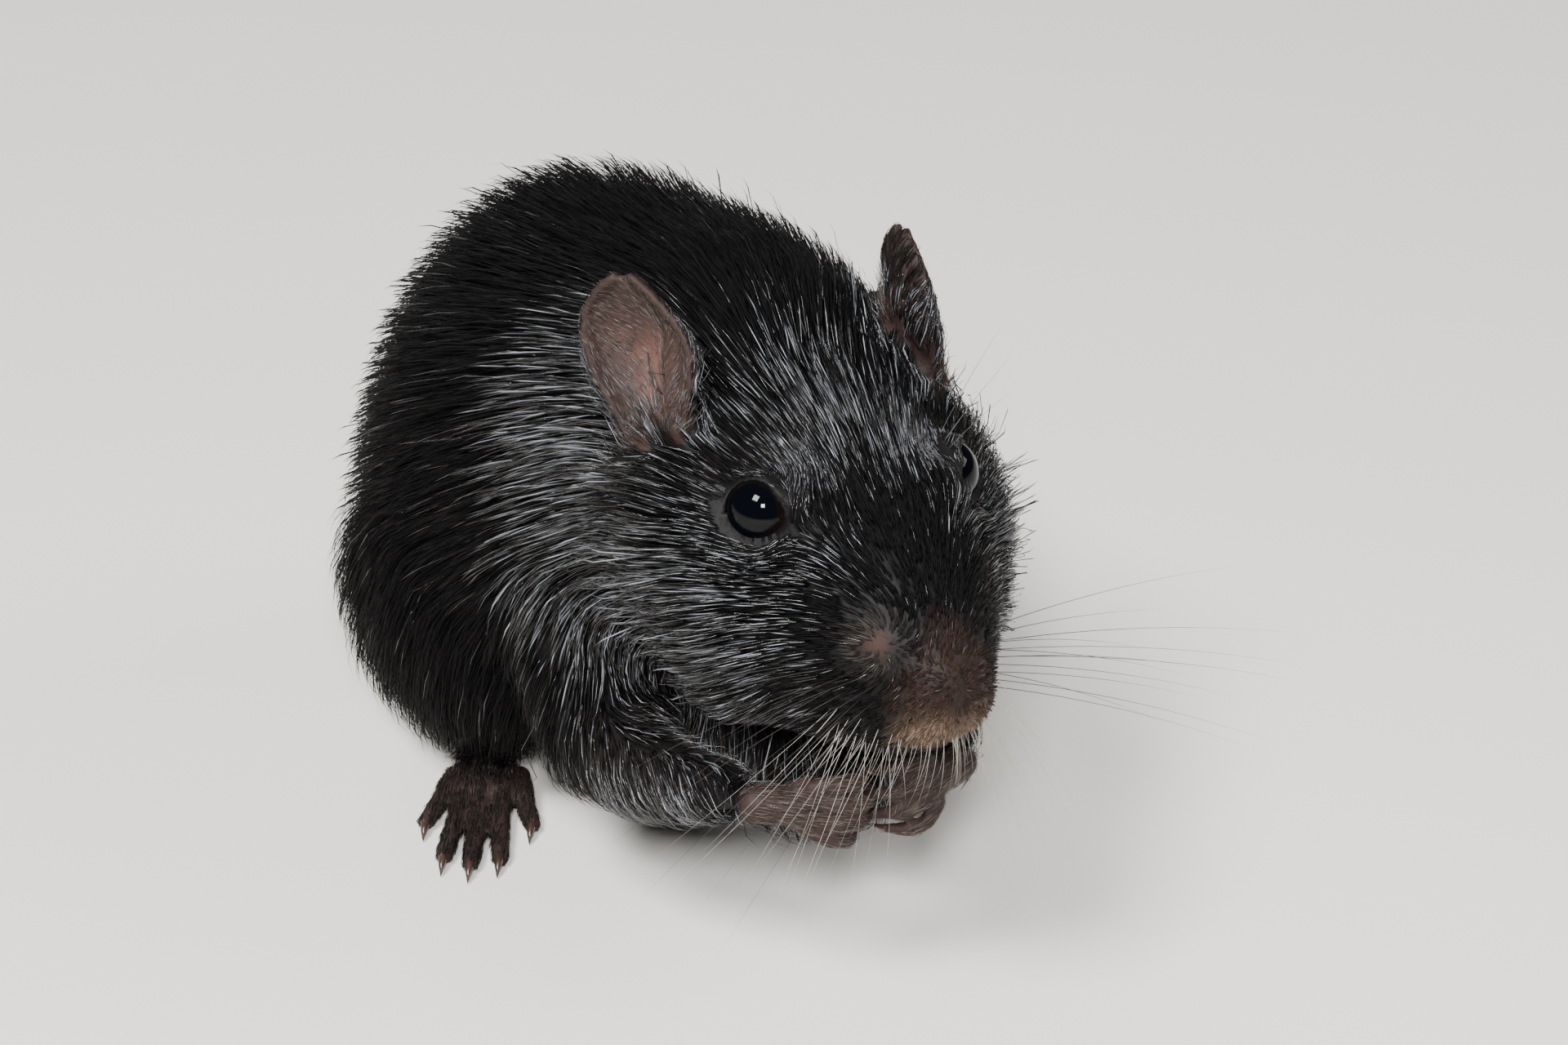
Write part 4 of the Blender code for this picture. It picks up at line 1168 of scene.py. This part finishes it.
def whisker(bm, start, way, length, droop, thick, back=0.0):
    """A bristle that leaves the skin at a place and sags and sweeps back along its length."""
    hit = skin_tree.find_nearest(start)
    begin, way = Vector(hit[0]) - Vector(hit[1]) * 0.2 * MM, way.normalized()
    path = []
    for i in range(13):
        t = i / 12
        place = begin + way * length * t * MM + Vector((0, back, -droop)) * length * t * t * MM
        place.z = max(place.z, 0.4 * MM)
        place.y = max(place.y, cad_box[0].y - 12.5 * MM)
        path.append(place)
    horn(bm, path, [thick * (1 - 0.93 * i / 12) for i in range(13)], sides=5)


dice = np.random.default_rng(21)


def jitter(most):
    return Vector(dice.normal(0, most, 3))


white, black = bmesh.new(), bmesh.new()
for side, sign in SIDES:
    for row in range(3):  # long white ones along the upper lip
        for column in range(7):
            start = on_head(sign * (3.4 + 0.36 * column), -14.6 + 1.0 * column, -13.4 + 1.0 * row)
            start += jitter(0.35) * MM
            outward = sign * (0.10 + 0.09 * column + 0.09 * row)
            way = Vector((outward, -0.42 + 0.05 * column, -1.0 + 0.12 * row)) + jitter(0.13)
            length = min((5.5 + 2.3 * column) * dice.uniform(0.7, 1.25), 24)
            whisker(white, start, head_turn @ way, length, 0.10, dice.uniform(0.015, 0.027), 0.16)
    for k in range(13):  # black ones on the cheek
        start = on_head(sign * (4.4 + 0.35 * (k % 5)), -13.0 + 1.0 * (k % 5), -8.0 - 1.2 * (k // 5))
        way = Vector((sign * 0.9, -0.50 + 0.10 * (k % 5), 0.14 - 0.16 * (k // 5) + 0.04 * (k % 3)))
        whisker(black, start, head_turn @ (way + jitter(0.07)), dice.uniform(12, 27), 0.16, 0.034, 0.05)
    for k in range(26):  # short white ones on the rim of the lip
        start = on_head(sign * (0.3 + 0.2 * k), -16.0 + 0.28 * k, -12.9 - 0.04 * k) + jitter(0.15) * MM
        way = Vector((sign * (0.10 + 0.02 * k), -0.40 + 0.01 * k, -0.85)) + jitter(0.10)
        whisker(white, start, head_turn @ way, dice.uniform(2.5, 6.0), 0.15, 0.018, 0.35)
    for k in range(3):  # black ones over the eye
        start = on_head(sign * (6.4 + 0.4 * k), -1.0 + 1.0 * k, 3.4)
        way = Vector((sign * 0.75, -0.1 + 0.25 * k, 0.85))
        whisker(black, start, head_turn @ way, 8 + 2.0 * k, 0.15, 0.030)
for name, bm, slot_name, tones in (
    ("white whisker", white, "bare_skin", ("#5d5550", "#b9b2aa")),
    ("black whisker", black, "black_fur", ("#0c0909", "#2a2220")),
):
    bristle = horn_material(name, 2.5, tones, Roughness=0.35, IOR=1.55)
    finish_horn(name.replace(" ", "_") + "s", bm, slot_name, bristle)

# ---------- the studio
# A pale seamless floor of matt paper. A large soft light high on the gerbil's right makes its coat
# shine, a small one beside the camera draws thin bright lines on the hairs, and two weaker ones
# light its left side and its back.

floor_bm = bmesh.new()
bmesh.ops.create_grid(floor_bm, x_segments=1, y_segments=1, size=3.0)
floor = put("floor", as_mesh(floor_bm, "floor"))
floor.data.materials.append(new_material("pale matt paper", Roughness=0.9, Base_Color=linear("#d9d5cf"))[0])

world = bpy.data.worlds.new("studio")
world.use_nodes = True
world.node_tree.nodes["Background"].inputs["Color"].default_value = linear("#f2f0ee")
world.node_tree.nodes["Background"].inputs["Strength"].default_value = 0.07
bpy.context.scene.world = world

LIGHTS = {  # place and size in metres, power in watts
    "key": ((-0.40, -0.13, 0.62), 0.20, 9.0),
    "front": ((-0.178, -0.249, 0.244), 0.06, 2.2),
    "fill": ((0.50, -0.30, 0.45), 0.35, 3.0),
    "back": ((0.10, 0.60, 0.45), 0.30, 2.0),
}
for name, (place, size, power) in LIGHTS.items():
    lamp = bpy.data.lights.new(name, "AREA")
    lamp.size, lamp.energy = size, power
    softbox = put(name, lamp)
    softbox.location = place
    softbox.rotation_euler = (on_body(0, -10, 25) - Vector(place)).to_track_quat("-Z", "Y").to_euler()

camera_data = bpy.data.cameras.new("camera")
camera_data.sensor_width, camera_data.lens = 36.0, 89.27
camera_data.clip_start, camera_data.clip_end = 0.01, 10.0
camera = put("camera", camera_data)
azimuth, elevation, distance = math.radians(-35), math.radians(30), 0.290
level = math.cos(elevation)
towards_camera = Vector((math.sin(azimuth) * level, -math.cos(azimuth) * level, math.sin(elevation)))
camera.location = on_body(-3.5, -30, 34.5) + towards_camera * distance
camera.rotation_euler = (-towards_camera).to_track_quat("-Z", "Y").to_euler()
bpy.context.scene.camera = camera
